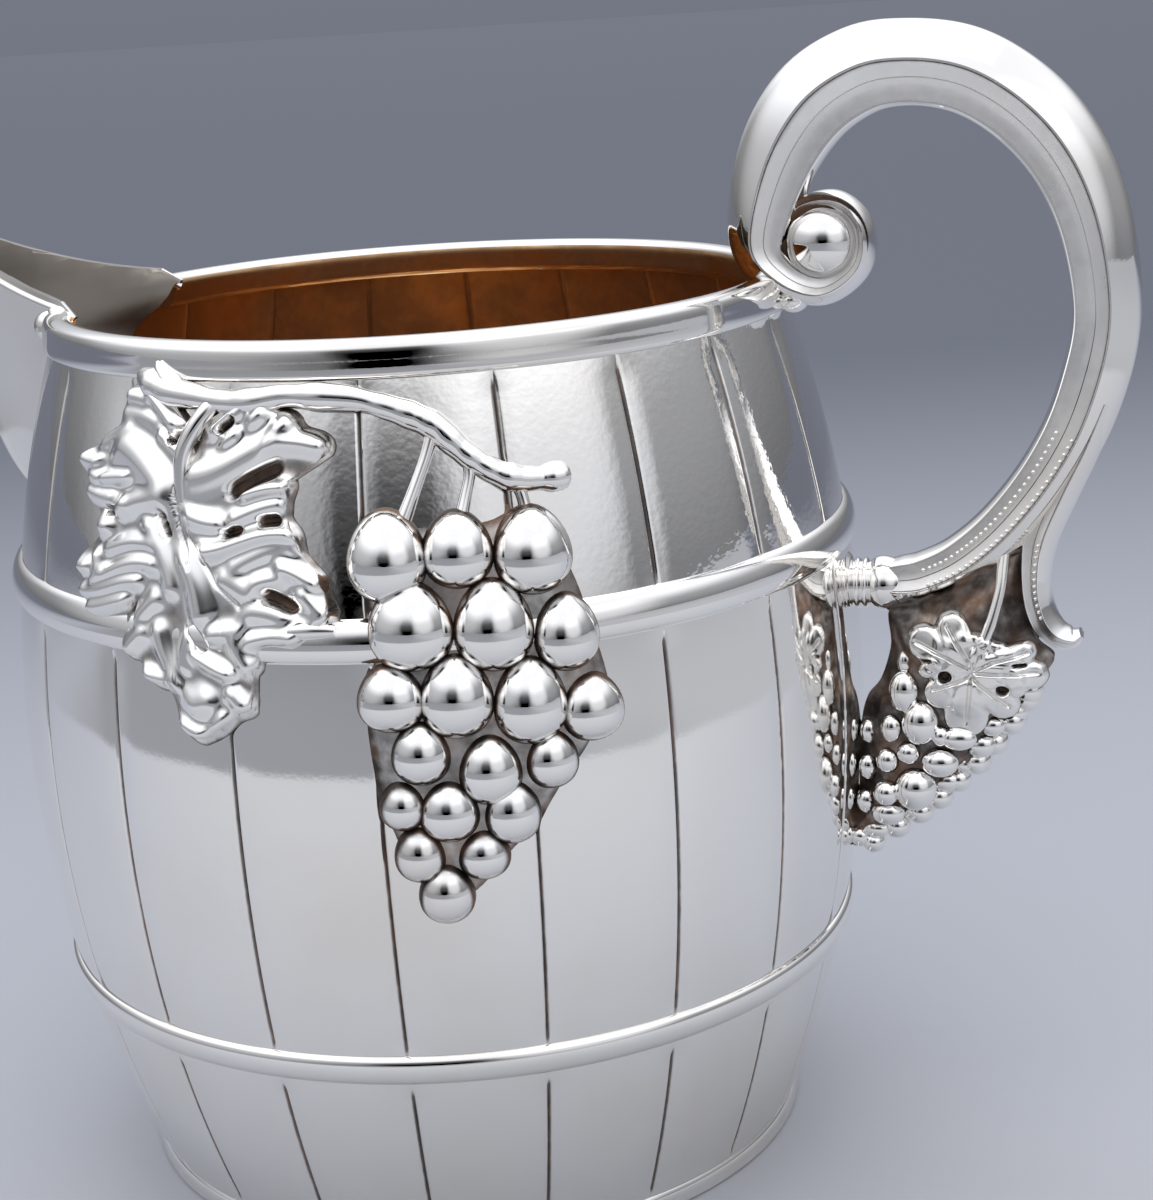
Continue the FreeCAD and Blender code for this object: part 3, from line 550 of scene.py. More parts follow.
def mouth_band():
    bm = lathe(catmull([MOUTH_BAND[-1]] + MOUTH_BAND + [MOUTH_BAND[0]], 3)[3:-4], 240)
    run = SIDE_NOSE[0] - SIDE_JOINT[0]
    fall = SIDE_JOINT[1] - SIDE_NOSE[1]
    spots = [(-SIDE_JOINT[0], side * SIDE_JOINT[1], 0) for side in (1, -1)]
    planes = [(spots[0], (-fall, run, 0)), (spots[1], (-fall, -run, 0))]

    def is_gone(at):
        return abs(at.y) < SIDE_JOINT[1] - (-at.x - SIDE_JOINT[0]) * fall / run - 1e-3

    cut_for_spout(bm, planes, 0.0, is_gone)
    bmesh.ops.holes_fill(bm, edges=[edge for edge in bm.edges if edge.is_boundary])
    for face in bm.faces:
        at = face.calc_center_median()
        is_lining = math.hypot(at.x, at.y) < GILT_RADIUS and at.z < GILT_TOP
        face.material_index = 1 if is_lining else 0
    return bm


finished("mouth_rim", mouth_band(), [silver, gilding], ["mouth_band"])

# Spout: a folded beak with a rolled lip. Each row holds the height at the keel, the
# keel's reach, the half width where the sides leave the wall, and the nose's radius.
SPOUT_ROWS = [
    (118.2, 76.6, 2.8, 0.8), (121.5, 79.6, 4.4, 1.6), (127.0, 83.6, 7.2, 2.4),
    (134.0, 86.6, 10.6, 3.0), (143.0, 88.9, 14.6, 3.4), (152.0, 91.2, 18.6, 3.7),
    (160.0, 93.4, 22.0, 3.9), (168.0, 95.4, 22.6, 4.0), (174.2, 96.5, 22.8, 3.8),
]
LIP_TIP = (96.6, 174.6)
LIP_JOINT = (60.0, 160.2)
LIP_ROLL = 0.75
SPOUT_WALL = 1.3
# Solder knuckles that close each joint of lip and band: place and half sizes.
KNUCKLES = [(60.4, 22.4, 159.5, (1.7, 1.5, 1.2)), (62.0, 22.2, 157.0, (3.2, 2.4, 2.9))]


def lip_height(x):
    """The lip rises from the rim to its tip in a hollow curve"""
    share = min(max((x - LIP_JOINT[0]) / (LIP_TIP[0] - LIP_JOINT[0]), 0.0), 1.0)
    lapped = 0.8 * max(LIP_JOINT[0] - x, 0.0)
    rise = LIP_TIP[1] - LIP_JOINT[1]
    return LIP_JOINT[1] - lapped + rise * (0.42 * share + 0.58 * share * share)


def spout_row(z, keel, half_width, nose):
    """Points from the left joint round the keel to the right joint, at one height"""
    lap = smooth_step(150, 156, z)
    joint = math.sqrt(wall_radius(min(z, 159)) ** 2 - half_width ** 2) - 0.3 - 3.0 * lap
    half_width += 1.5 * lap
    shoulder = keel - nose * 0.62
    side = []
    for step in range(13):
        t = step / 12
        x = joint + (shoulder - joint) * t
        pinch = math.sin(math.pi * t) * 0.5
        side.append((x, half_width + (nose * 0.9 - half_width) * t - pinch))
    turn = []
    for step in range(1, 7):
        angle = math.radians(90 - 90 * step / 6)
        turn.append((shoulder + (keel - shoulder) * math.cos(angle), nose * 0.9 * math.sin(angle)))
    half = side + turn
    row = [(-x, -y, z) for x, y in half] + [(-x, y, z) for x, y in reversed(half[:-1])]
    return [(x, y, min(z, lip_height(-x))) for x, y, z in row]


def spout():
    rows = [spout_row(*row) for row in catmull(SPOUT_ROWS, 4)]
    bm = bmesh.new()
    before = None
    for row in rows:
        verts = [bm.verts.new(point) for point in row]
        edges = [bm.edges.new(pair) for pair in zip(verts, verts[1:])]
        if before:
            bmesh.ops.bridge_loops(bm, edges=before + edges)
        before = edges
    bmesh.ops.remove_doubles(bm, verts=bm.verts, dist=0.02)
    bmesh.ops.recalc_face_normals(bm, faces=bm.faces)
    if sum(face.normal.x for face in bm.faces) > 0:
        bmesh.ops.reverse_faces(bm, faces=bm.faces)
    bmesh.ops.solidify(bm, geom=bm.faces, thickness=SPOUT_WALL)
    bmesh.ops.recalc_face_normals(bm, faces=bm.faces)
    # Inner faces of the spout get the silver painted dark as painted shade.
    for face in bm.faces:
        centre = face.calc_center_median()
        outward = centre - Vector((-60, 0, centre.z))
        face.material_index = 1 if face.normal.dot(outward) < 0 else 0
    rolled_lip(bm, rows[-1])
    return bm


def rolled_lip(bm, edge):
    """Roll along the lip, ending in a knuckle at each joint"""
    line = [Vector(point) - Vector((0, 0, 0.3)) for point in edge]
    tube(bm, line, [LIP_ROLL] * len(line), [Vector((0, 0, 1))] * len(line), 12)
    for side in (1, -1):
        for x, y, z, size in KNUCKLES:
            place = Matrix.Translation((-x, side * y, z)) @ Matrix.Diagonal(size + (1,))
            bmesh.ops.create_uvsphere(bm, u_segments=18, v_segments=12, radius=1.0, matrix=place)


finished("beak_spout", spout(), [silver, spout_inside_painted_shade], ["spout"])

# Handle. A station of the scroll is degrees round its eye, the outer radius, half depth and
# half width; a station of the bow is x, z, half depth and half width.
SCROLL_EYE = Vector((74.0, 0.0, 165.2))
EYE_RADIUS, EYE_BULGE = 6.1, 5.0
SCROLL = [
    (165, 7.6, 0.8, 3.6), (120, 8.3, 1.3, 4.4), (70, 8.9, 1.7, 5.0), (20, 9.1, 1.9, 5.5),
    (-35, 9.8, 2.3, 6.0), (-90, 11.2, 2.8, 6.6), (-140, 12.8, 3.6, 6.9), (-182, 16.5, 5.3, 7.2),
]
BOW = [
    (66.2, 178.6, 7.1, 7.2), (72.6, 188.3, 7.8, 7.2), (80.9, 193.4, 7.6, 7.2),
    (89.0, 194.4, 7.2, 7.2), (97.3, 193.1, 7.2, 7.1), (104.3, 189.6, 7.1, 7.0),
    (110.9, 183.9, 7.0, 6.9), (115.9, 176.8, 6.7, 6.8), (119.3, 168.3, 6.3, 6.6),
    (121.2, 158.7, 6.0, 6.5), (121.5, 150.0, 5.8, 6.3), (119.8, 141.2, 5.8, 6.2),
    (116.2, 131.2, 5.6, 6.0), (110.6, 121.8, 5.3, 5.9), (103.6, 113.4, 5.1, 5.8),
    (96.6, 107.6, 5.0, 5.6), (90.4, 104.7, 4.9, 5.4), (86.6, 104.0, 4.7, 5.1),
    (84.2, 103.9, 4.3, 4.6),
]

# The groove's share of the way down the flat side, its oxide, and the heights over which that fades.
GROOVE_SPOT = 0.395
GROOVE_OXIDE = 0.9
GROOVE_FADE = (140.0, 165.0)


def handle_section():
    """Unit section: keeled outer face, a sharp ridge, a flat filed side with a groove and a
    narrow inner edge. A spot has its place outwards and across, its oxide and its dullness."""
    half = []
    for step in range(13):
        across = step / 12
        half.append((1 - 0.85 * across ** 2, across, 0.0, 0.0))
    half += [(0.11, 0.995, 0.3, 0.0), (0.085, 0.955, 1.0, 0.3), (0.06, 0.955, 0.4, 0.8)]
    for t in (0.11, 0.22, 0.33, 0.375, GROOVE_SPOT, 0.415, 0.5, 0.61, 0.72, 0.83, 0.92):
        groove = 1.0 if t == GROOVE_SPOT else 0.0
        smeared = 0.32 * smooth_step(0.4, 0.65, t)
        across = 0.955 - 0.26 * t - 0.05 * math.sin(math.pi * t) - 0.03 * groove
        half.append((0.06 - 0.9 * t, across, max(GROOVE_OXIDE * groove, smeared), 1.0))
    half += [(-0.84, 0.69, 0.25, 0.6), (-0.87, 0.69, 0.0, 0.0)]
    for step in range(1, 7):
        angle = math.radians(90 * step / 6)
        half.append((-0.87 - 0.13 * math.sin(angle), 0.69 * math.cos(angle), 0.0, 0.0))
    return half + [(a, -b, dark, filed) for a, b, dark, filed in reversed(half[1:-1])]


def along_line(stations):
    """Places along a line in the middle plane, each square to it"""
    across = Vector((0, 1, 0))
    places = []
    for index, (x, z, half_depth, half_width) in enumerate(stations):
        before = stations[max(index - 1, 0)]
        after = stations[min(index + 1, len(stations) - 1)]
        along = Vector((after[0] - before[0], 0, after[1] - before[1])).normalized()
        out = Vector((-along.z, 0, along.x))
        places.append(placement(Vector((x, 0, z)), out, across, half_depth, half_width))
    return places


def handle():
    stations = []
    for angle, outer, half_depth, half_width in SCROLL:
        away = Vector((math.cos(math.radians(angle)), 0, math.sin(math.radians(angle))))
        middle = SCROLL_EYE + away * (outer - half_depth)
        stations.append((middle.x, middle.z, half_depth, half_width))
    bm = swept(handle_section(), along_line(catmull(stations + BOW, 8)))
    oxide = bm.verts.layers.float["oxide"]
    for vert in bm.verts:
        if abs(vert[oxide] - GROOVE_OXIDE) < 0.05:
            vert[oxide] *= 1 - smooth_step(*GROOVE_FADE, vert.co.z)
    return bm


halves = ["handle_left_half", "handle_right_half"]
finished("bow_handle", handle(), [handle_silver], halves, sharp=24)


def scroll_web():
    """Dished disc behind the scroll's eyes"""
    face = [(0.0, 3.6), (5.0, 3.6), (6.4, 3.7), (7.4, 4.3), (8.2, 4.6)]
    outline = face + [(radius, -z) for radius, z in reversed(face)]
    bm = lathe(outline, 64, closed=False, axis=(0, 1, 0), centre=SCROLL_EYE)
    oxide = bm.verts.layers.float.new("oxide")
    for vert in bm.verts:
        vert[oxide] = 0.95
    return bm


finished("scroll_disc", scroll_web(), [chased_silver], [])


def scroll_eye():
    outline = [(0.0, EYE_BULGE)]
    for step in range(1, 13):
        angle = math.radians(90 - 90 * step / 12)
        outline.append((EYE_RADIUS * math.cos(angle), EYE_BULGE * math.sin(angle)))
    outline += [(5.6, -0.6), (0.0, -0.6)]
    centre = SCROLL_EYE - Vector((0, 3.4, 0))
    return lathe(outline, 64, closed=False, axis=(0, -1, 0), centre=centre)


eye = finished("scroll_ball_left", scroll_eye(), [silver], ["scroll_eye_left"])
twin(eye, "scroll_ball_right", ["scroll_eye_right"])

# Reel of beads between the lower arm and the barrel, as radii and distances from the jug's axis.
COLLAR = [
    (0.0, 86.0), (3.8, 86.0), (4.4, 85.0), (4.85, 83.6), (4.95, 82.6), (4.75, 81.6), (4.2, 80.7),
    (3.95, 80.3), (4.4, 80.0), (4.6, 79.6), (4.4, 79.2), (4.0, 78.9), (4.4, 78.6), (4.6, 78.2),
    (4.4, 77.8), (4.0, 77.5), (4.8, 77.2), (5.3, 76.8), (5.3, 76.3), (0.0, 76.3),
]

arm_end = (0, 0, BOW[-1][1])
collar = lathe(catmull(COLLAR, 3), 72, closed=False, axis=(1, 0, 0), centre=arm_end)
finished("arm_collar", collar, [silver], ["handle_collar"])


def saddle():
    """Solder fillet in the corner of scroll, band and wall"""
    bm = bmesh.new()
    bmesh.ops.create_uvsphere(bm, u_segments=24, v_segments=14, radius=1.0)
    bmesh.ops.scale(bm, vec=(2.9, 4.6, 2.6), verts=bm.verts)
    bmesh.ops.translate(bm, vec=(68.4, 0, 155.4), verts=bm.verts)
    return bm


finished("rim_solder", saddle(), [silver], ["rim_saddle"])

TAIL = [
    (121.0, 136.6, 2.6, 4.9), (117.9, 129.1, 3.1, 5.0), (113.9, 120.9, 3.3, 5.0),
    (110.4, 112.4, 3.1, 4.9), (109.5, 104.4, 2.6, 4.6), (110.6, 98.6, 2.6, 4.5),
    (112.8, 95.3, 2.3, 4.3), (115.6, 94.2, 1.7, 3.8), (117.2, 95.0, 0.7, 2.8),
]

tail = swept(handle_section(), along_line(catmull(TAIL, 6)))
finished("bow_tail", tail, [handle_silver], ["handle_tail"], sharp=30)

# Milled beads: two rows on each side of the lower arm and one on the tail.
BEAD_RADIUS = 0.42
BEAD_SPACING = 1.05
BEAD_STEPS = 24


def bead_row(bm, stations, first, last, spot):
    """Beads on both sides of a line, from station to station, at a spot of its section"""
    line = catmull(stations, BEAD_STEPS)
    places = along_line(line)
    run = 0.0
    for index in range(first * BEAD_STEPS, last * BEAD_STEPS):
        run += math.dist(line[index][:2], line[index - 1][:2])
        if run < BEAD_SPACING:
            continue
        run = 0.0
        for side in (1, -1):
            bead = Matrix.Translation(places[index] @ Vector((spot[0], spot[1] * side, 0)))
            bmesh.ops.create_icosphere(bm, subdivisions=1, radius=BEAD_RADIUS, matrix=bead)


def arm_beads():
    bm = bmesh.new()
    bead_row(bm, BOW, 12, 16, (0.0, 0.925))
    bead_row(bm, BOW, 12, 16, (-0.52, 0.775))
    bead_row(bm, TAIL, 3, 5, (-0.1, 0.92))
    return bm


finished("arm_bead_rows", arm_beads(), [silver], [], sharp=180)

# Vine on the barrel. Places are degrees round from the handle and drops below the rim.


def over_wall(degrees, drop, lift):
    return on_barrel(degrees, BODY_HEIGHT - drop, lift)


def rod(bm, stations):
    """Rod on the wall; each station is degrees, drop, radius and lift"""
    line, radii, outs = [], [], []
    for degrees, drop, radius, lift in stations:
        line.append(over_wall(degrees, drop, lift))
        radii.append(radius)
        outs.append((over_wall(degrees, drop, 1.0) - over_wall(degrees, drop, 0.0)).normalized())
    tube(bm, line, radii, outs, 16)


# Where the backs of the vine's pieces end, inside the sheet of the wall.
SEAT = -0.7


def seat_on_wall(bm, low, high):
    """Flatten a mesh's back into the wall, and darken it where it meets the wall"""
    oxide = bm.verts.layers.float.get("oxide") or bm.verts.layers.float.new("oxide")
    for vert in bm.verts:
        radius = math.hypot(vert.co.x, vert.co.y)
        wall = wall_radius(min(max(vert.co.z, 0.0), BODY_HEIGHT))
        vert[oxide] = max(vert[oxide], 1 - smooth_step(low, high, radius - wall))
        if radius < wall + SEAT:
            vert.co.x *= (wall + SEAT) / radius
            vert.co.y *= (wall + SEAT) / radius


BRANCH = [
    (-113.6, 5.9, 1.5), (-111.0, 7.0, 2.5), (-108.2, 8.0, 2.5), (-104.0, 8.6, 2.0),
    (-99.5, 9.2, 2.0), (-95.5, 9.2, 2.1), (-91.0, 8.4, 1.9), (-86.0, 8.6, 2.2), (-81.0, 9.2, 1.9),
    (-77.0, 10.6, 2.0), (-73.6, 12.2, 2.1), (-71.0, 14.0, 2.3), (-68.6, 17.0, 1.9),
    (-66.4, 19.4, 2.0), (-64.0, 21.4, 1.9), (-61.6, 22.6, 2.2), (-58.6, 23.0, 1.9),
    (-56.6, 23.0, 2.4), (-55.9, 23.0, 2.2),
]
# The leaf's stalk has its lift at each station too.
PETIOLE = [
    (-100.2, 8.6, 1.2, 0.4), (-101.4, 10.4, 1.4, 1.6), (-103.0, 13.4, 1.4, 2.3),
    (-104.4, 17.0, 1.3, 2.4), (-104.9, 20.5, 1.1, 1.9), (-104.9, 24.5, 0.8, 1.1),
]
TWIG = [(-109.4, 8.0, 1.6), (-111.4, 10.4, 1.2), (-112.6, 13.4, 0.9)]
HORN = [
    (-106.4, 8.6, 2.0), (-107.6, 7.4, 2.1), (-108.8, 6.2, 1.8), (-109.8, 5.0, 1.2),
    (-110.2, 4.2, 0.7), (-110.3, 3.8, 0.2),
]
PEG = [(-90.0, 43.6, 1.2), (-88.0, 43.4, 1.5), (-86.0, 43.4, 1.3), (-84.6, 43.5, 0.9)]


def branch():
    stations = []
    for index, (degrees, drop, radius) in enumerate(catmull(BRANCH, 5)):
        radius *= 1 + 0.05 * math.sin(0.55 * index) + 0.03 * math.sin(1.3 * index + 1)
        stations.append((degrees, drop, radius, radius * 0.5))
    bm = bmesh.new()
    rod(bm, stations)
    rod(bm, catmull(PETIOLE, 5))
    rod(bm, [(turn, drop, radius, 0.6) for turn, drop, radius in catmull(TWIG, 4)])
    rod(bm, [(turn, drop, radius, 2.6 - 0.7 * radius) for turn, drop, radius in catmull(HORN, 4)])
    rod(bm, [(turn, drop, radius, 1.7) for turn, drop, radius in catmull(PEG, 4)])
    seat_on_wall(bm, 0.1, 1.3)
    return bm


vine = finished("vine_cane_left", branch(), [chased_silver], ["vine_branch_left"],
                sharp=50)
twin(vine, "vine_cane_right", ["vine_branch_right"])

STEMS = [
    [(-71.4, 14.0, 1.1), (-72.6, 18.0, 0.95), (-74.4, 23.0, 1.0), (-76.4, 28.6, 1.3)],
    [(-67.8, 18.0, 1.0), (-67.4, 21.0, 0.9), (-68.2, 24.6, 0.95), (-69.2, 28.6, 1.2)],
    [(-62.6, 22.0, 1.0), (-61.4, 24.4, 0.9), (-61.0, 27.0, 0.95), (-61.0, 29.4, 1.2)],
]


def stems():
    bm = bmesh.new()
    for stem in STEMS:
        rod(bm, [(turn, drop, radius, radius * 0.5) for turn, drop, radius in catmull(stem, 5)])
    seat_on_wall(bm, 0.0, 0.8)
    return bm


stalks = finished("bunch_stalks_left", stems(), [chased_silver], ["grape_stems_left"],
                  sharp=50)
twin(stalks, "bunch_stalks_right", ["grape_stems_right"])

GRAPES = [
    (-78.2, 32.5, 5.9), (-69.8, 32.2, 5.1), (-60.9, 33.4, 6.2), (-75.9, 43.2, 6.1),
    (-66.4, 44.0, 5.9), (-57.9, 46.5, 5.3), (-78.7, 54.2, 4.9), (-71.3, 54.5, 5.6),
    (-62.9, 56.3, 5.7), (-55.6, 58.8, 4.8), (-75.8, 63.1, 4.6), (-68.1, 66.6, 4.7),
    (-60.9, 66.1, 4.0), (-78.3, 71.5, 3.7), (-73.1, 72.8, 4.4), (-65.9, 73.8, 4.3),
    (-76.8, 79.6, 4.0), (-69.5, 80.4, 3.8), (-74.1, 86.5, 4.3),
]


def grape(bm, centre, out, radius, wide, tall, taper=0.0):
    """Oval grape; a taper makes it narrower and lower at its top"""
    made = bmesh.ops.create_uvsphere(bm, u_segments=28, v_segments=18, radius=1.0)["verts"]
    for vert in made:
        vert.co.x *= 1 + taper * vert.co.z
        vert.co.y *= 1 + taper * (0.62 * vert.co.z - 0.31)
    across = Vector((0, 0, 1)).cross(out).normalized()
    turn = Matrix((across, out, across.cross(out))).transposed().to_4x4()
    size = Matrix.Diagonal((radius * wide, radius, radius * tall, 1))
    bmesh.ops.transform(bm, matrix=Matrix.Translation(centre) @ turn @ size, verts=made)


def bunch():
    bm = bmesh.new()
    bm.verts.layers.float.new("oxide")
    for index, (degrees, drop, radius) in enumerate(GRAPES):
        foot = over_wall(degrees, drop, 0.0)
        centre = over_wall(degrees, drop, 0.04 * radius)
        wide = 1.07 + 0.05 * math.sin(2.3 * index)
        tall = 1.21 + 0.06 * math.sin(1.7 * index + 1)
        grape(bm, centre, (centre - foot).normalized(), radius, wide, tall, taper=0.16)
    seat_on_wall(bm, 1.7, 3.3)
    return bm


# The low plate between the grapes, as degrees and drops round its edge.
BUNCH_EDGE = [
    (-83.0, 31.0), (-79.0, 26.8), (-70.0, 26.4), (-60.0, 27.0), (-55.6, 34.0), (-53.2, 45.0),
    (-51.6, 58.0), (-54.6, 65.0), (-57.6, 70.0), (-62.0, 77.0), (-66.4, 83.6), (-71.0, 90.0),
    (-75.4, 91.0), (-79.0, 84.0), (-81.2, 73.0), (-82.4, 62.0), (-82.4, 52.0), (-80.8, 43.0),
]


def bunch_plate():
    middle = (-68.5, 54.0)

    def place(u, v):
        share, under = turned_under(v, 0.8)
        edge = around(BUNCH_EDGE, u)
        degrees, drop = (m + (e - m) * share for m, e in zip(middle, edge))
        lift = -0.5 if under else 1.3 - 1.7 * smooth_step(0.72, 1.0, share)
        return over_wall(degrees, drop, lift), 0.62 if lift > 0.2 else 0.85

    return draped(120, 20, place)


grapes = finished("grape_balls_left", bunch(), [chased_silver], ["grape_bunch_left"],
                  sharp=180)
twin(grapes, "grape_balls_right", ["grape_bunch_right"])
plate = finished("bunch_ground_left", bunch_plate(), [chased_silver], [])
twin(plate, "bunch_ground_right", [])


class Leaf:
    """Chased leaf. Each fold of the metal is a ridge between two spots, right and up, with its
    half width and height; each hollow is sunk between two spots, with its half width; each vein
    is a row of spots."""

    COLUMNS = 360
    # A ray for the edge comes in from the farthest reach in strides, to the nearest.
    FARTHEST, NEAREST, STRIDE = 42.0, 3.0, 0.35

    def __init__(self, folds, hollows, veins, blade, crown, margin, sway, dish):
        """Blade is the height between the folds, crown is 2 for round folds and more for flat ones,
        sway bends the folds to and fro, and dish sinks the end of each fold inside its rim"""
        self.folds, self.hollows, self.veins = folds, hollows, veins
        self.blade, self.crown, self.margin = blade, crown, margin
        self.sway, self.dish = sway, dish
        count = self.COLUMNS
        reach = [self.farthest(math.tau * step / count) for step in range(count)]
        self.reaches = [
            sum(reach[(step + k) % count] for k in range(-2, 3)) / 5 for step in range(count)
        ]

    def farthest(self, angle):
        """Where a ray from the middle last leaves the folds"""
        c, s = math.cos(angle), math.sin(angle)
        away = self.FARTHEST
        while away > self.NEAREST:
            spot = self.swayed((away * c, away * s))
            if any(to_ridge(spot, fold) < fold[4] + self.margin for fold in self.folds):
                break
            away -= self.STRIDE
        return away

    def swayed(self, spot):
        x, z = spot
        return x + self.sway * math.sin(0.28 * z + 1.3), z + self.sway * math.sin(0.25 * x + 0.7)

    def relief(self, spot, share):
        """Height, from 0 to 1, and oxide at a spot"""
        spot = self.swayed(spot)
        swell = dark = 0.0
        for fold in self.folds:
            away = to_ridge(spot, fold) / fold[4]
            if away < 2.2:
                from_end = math.dist(spot, fold[2:4]) / fold[4]
                dip = self.dish * (1 - smooth_step(0.55, 0.95, from_end))
                dark = max(dark, 1.5 * dip)
                swell += (fold[5] * (1 - dip) * math.exp(-0.9 * away ** self.crown)) ** 2.5
        blade = self.blade * (1.15 - 0.3 * share)
        height = blade + (1 - blade) * min(swell ** 0.4, 1.0)
        dark = max(dark, 0.6 * (1 - smooth_step(0.4, 0.62, height)))
        sunk = 0.0
        for hollow in self.hollows:
            sunk = max(sunk, 1 - smooth_step(0.3, 1.25, to_ridge(spot, hollow) / hollow[4]))
        for vein in self.veins:
            for start, end in zip(vein, vein[1:]):
                away = to_ridge(spot, start + end)
                sunk = max(sunk, 0.3 * (1 - smooth_step(0.1, 0.5, away)))
        height *= 1 - 0.9 * sunk
        height *= 1 - 0.9 * smooth_step(0.93, 1.0, share)
        dark = max(dark, smooth_step(0.4, 0.9, sunk), 0.9 * smooth_step(0.965, 1.0, share))
        return max(height, 0.04), dark

    def sheet(self, rows, lay):
        """Drape the leaf; lay gives the point at an offset right, up and out"""

        def place(u, v):
            share, under = turned_under(v, 0.88)
            reach = self.reaches[round(u * self.COLUMNS) % self.COLUMNS] * share
            spot = (reach * math.cos(math.tau * u), reach * math.sin(math.tau * u))
            if under:
                return lay(*spot, None), 0.9
            height, dark = self.relief(spot, share)
            return lay(*spot, height), dark

        return draped(self.COLUMNS, rows, place)


def to_ridge(spot, ridge):
    """Distance from a spot to the line between a ridge's two ends"""
    x1, z1, x2, z2 = ridge[:4]
    run, rise = x2 - x1, z2 - z1
    span = run * run + rise * rise
    t = min(max(((spot[0] - x1) * run + (spot[1] - z1) * rise) / span, 0.0), 1.0) if span else 0.0
    return math.hypot(spot[0] - x1 - run * t, spot[1] - z1 - rise * t)


LEAF_MIDDLE = (-104.0, 25.0)
LEAF_RELIEF = 3.4
WALL_LEAF = Leaf(
    [
        (2.3, 5.5, 12.6, 8.4, 2.8, 0.75), (13.5, 8.4, 21.1, 8.8, 1.7, 0.9),
        (10.4, 12.6, 11.0, 13.0, 1.9, 0.95), (14.4, 10.5, 15.2, 11.0, 1.8, 0.9),
        (6.3, 10.7, 7.0, 11.0, 1.6, 0.8), (3.6, 12.6, 8.1, 14.8, 1.7, 0.8),
        (12.1, 1.6, 17.5, 1.8, 1.3, 0.95), (9.9, -1.5, 17.1, -0.7, 1.4, 0.55),
        (2.3, -0.7, 6.3, -1.5, 1.6, 0.7), (3.6, -5.6, 18.0, -5.0, 1.4, 1.0),
        (8.1, -8.9, 17.5, -6.9, 1.7, 0.55), (16.2, -10.2, 21.1, -11.4, 1.6, 0.95),
        (11.7, -12.2, 15.3, -11.8, 1.6, 0.7), (19.8, -13.5, 23.6, -15.7, 1.8, 1.0),
        (23.6, -16.4, 19.8, -20.5, 1.8, 0.8), (19.8, -20.5, 13.0, -20.9, 1.6, 0.75),
        (6.3, -10.2, 10.8, -13.5, 1.7, 0.6), (11.7, -16.4, 17.5, -18.0, 1.9, 0.6),
        (-0.4, -8.1, 3.6, -15.5, 2.0, 0.85), (3.6, -21.7, 8.6, -25.0, 1.4, 0.95),
        (6.3, -18.4, 10.8, -18.8, 1.6, 0.7), (10.4, -20.5, 12.2, -24.6, 1.6, 0.75),
        (8.1, -28.3, 9.5, -30.8, 1.7, 0.85), (-3.8, -20.5, -1.9, -25.5, 1.9, 0.7),
        (-7.0, -27.9, -1.9, -27.1, 1.4, 0.9), (0.9, -29.6, 3.0, -29.0, 2.5, 0.75),
        (-1.2, -33.3, 1.8, -34.5, 1.5, 0.85), (4.5, -32.9, 5.4, -32.0, 1.7, 0.7),
        (-10.3, -23.8, -7.4, -21.6, 1.8, 0.7), (2.4, -18.0, 0.6, -24.0, 1.4, 0.5),
        (-13.6, 7.6, -3.8, 1.8, 2.8, 0.85), (-10.3, -1.5, -3.8, 0.2, 2.0, 0.8),
        (-16.2, 3.5, -11.0, 2.6, 1.2, 0.95), (-20.0, 1.8, -14.9, 0.2, 1.5, 0.6),
        (-16.8, -4.0, -16.2, -4.0, 2.0, 1.0), (-11.6, -1.5, -12.4, -2.0, 1.7, 0.85),
        (-16.8, -7.7, -7.1, -7.3, 1.4, 0.65), (-19.4, -8.5, -19.1, -10.2, 1.5, 0.95),
        (-24.0, -10.2, -22.6, -10.0, 1.5, 0.9), (-20.0, -11.8, -7.1, -10.2, 1.5, 0.85),
        (-22.7, -13.9, -10.3, -13.5, 1.5, 0.75), (-20.0, -16.4, -12.6, -16.4, 1.5, 0.75),
        (-22.7, 6.6, -19.0, 6.2, 1.5, 0.9), (-19.4, 4.3, -18.0, 3.8, 1.4, 0.8),
        (-8.4, 15.0, -4.5, 12.1, 1.6, 0.9), (-12.9, 15.0, -10.4, 14.4, 1.6, 0.8),
        (-5.8, 9.7, -1.9, 8.4, 1.4, 0.95), (-14.2, 12.6, -8.4, 11.3, 1.8, 0.55),
        (-18.6, 9.0, -13.6, 10.1, 1.7, 0.6), (-6.6, -5.0, -3.4, -12.4, 1.9, 0.6),
        (-8.6, -19.4, -6.0, -15.6, 1.8, 0.6),
    ],
    [
        (9.6, 3.0, 15.2, 4.6, 1.5), (4.8, 12.6, 6.2, 13.4, 0.8), (7.6, -3.4, 10.0, -3.4, 0.8),
        (14.4, -3.0, 16.6, -3.0, 0.9), (13.8, -14.4, 18.4, -16.0, 1.1),
        (2.2, -17.6, 4.6, -20.4, 0.9), (-10.6, -17.4, -9.8, -20.0, 0.9),
        (-3.6, 9.8, -2.2, 11.2, 0.9), (-3.8, -2.2, -3.4, -4.4, 0.8),
        (-15.4, -1.6, -13.8, -2.0, 0.8),
    ],
    [[(-0.6, 4.0), (-0.8, -3.0), (0.2, -8.0)], [(0.4, -3.6), (4.6, -10.6), (9.6, -15.0)]],
    blade=0.42, crown=2, margin=1.2, sway=1.2, dish=0.0,
)


def wall_leaf():
    def lay(right, up, height):
        drop = LEAF_MIDDLE[1] - up
        radius = wall_radius(BODY_HEIGHT - max(drop, 3.0))
        degrees = LEAF_MIDDLE[0] + math.degrees(right / radius)
        return over_wall(degrees, drop, -0.5 if height is None else LEAF_RELIEF * height - 0.15)

    return WALL_LEAF.sheet(64, lay)


leaf = finished("vine_leaf_blade_left", wall_leaf(), [leaf_silver], ["vine_leaf_left"],
                sharp=75)
twin(leaf, "vine_leaf_blade_right", ["vine_leaf_right"])

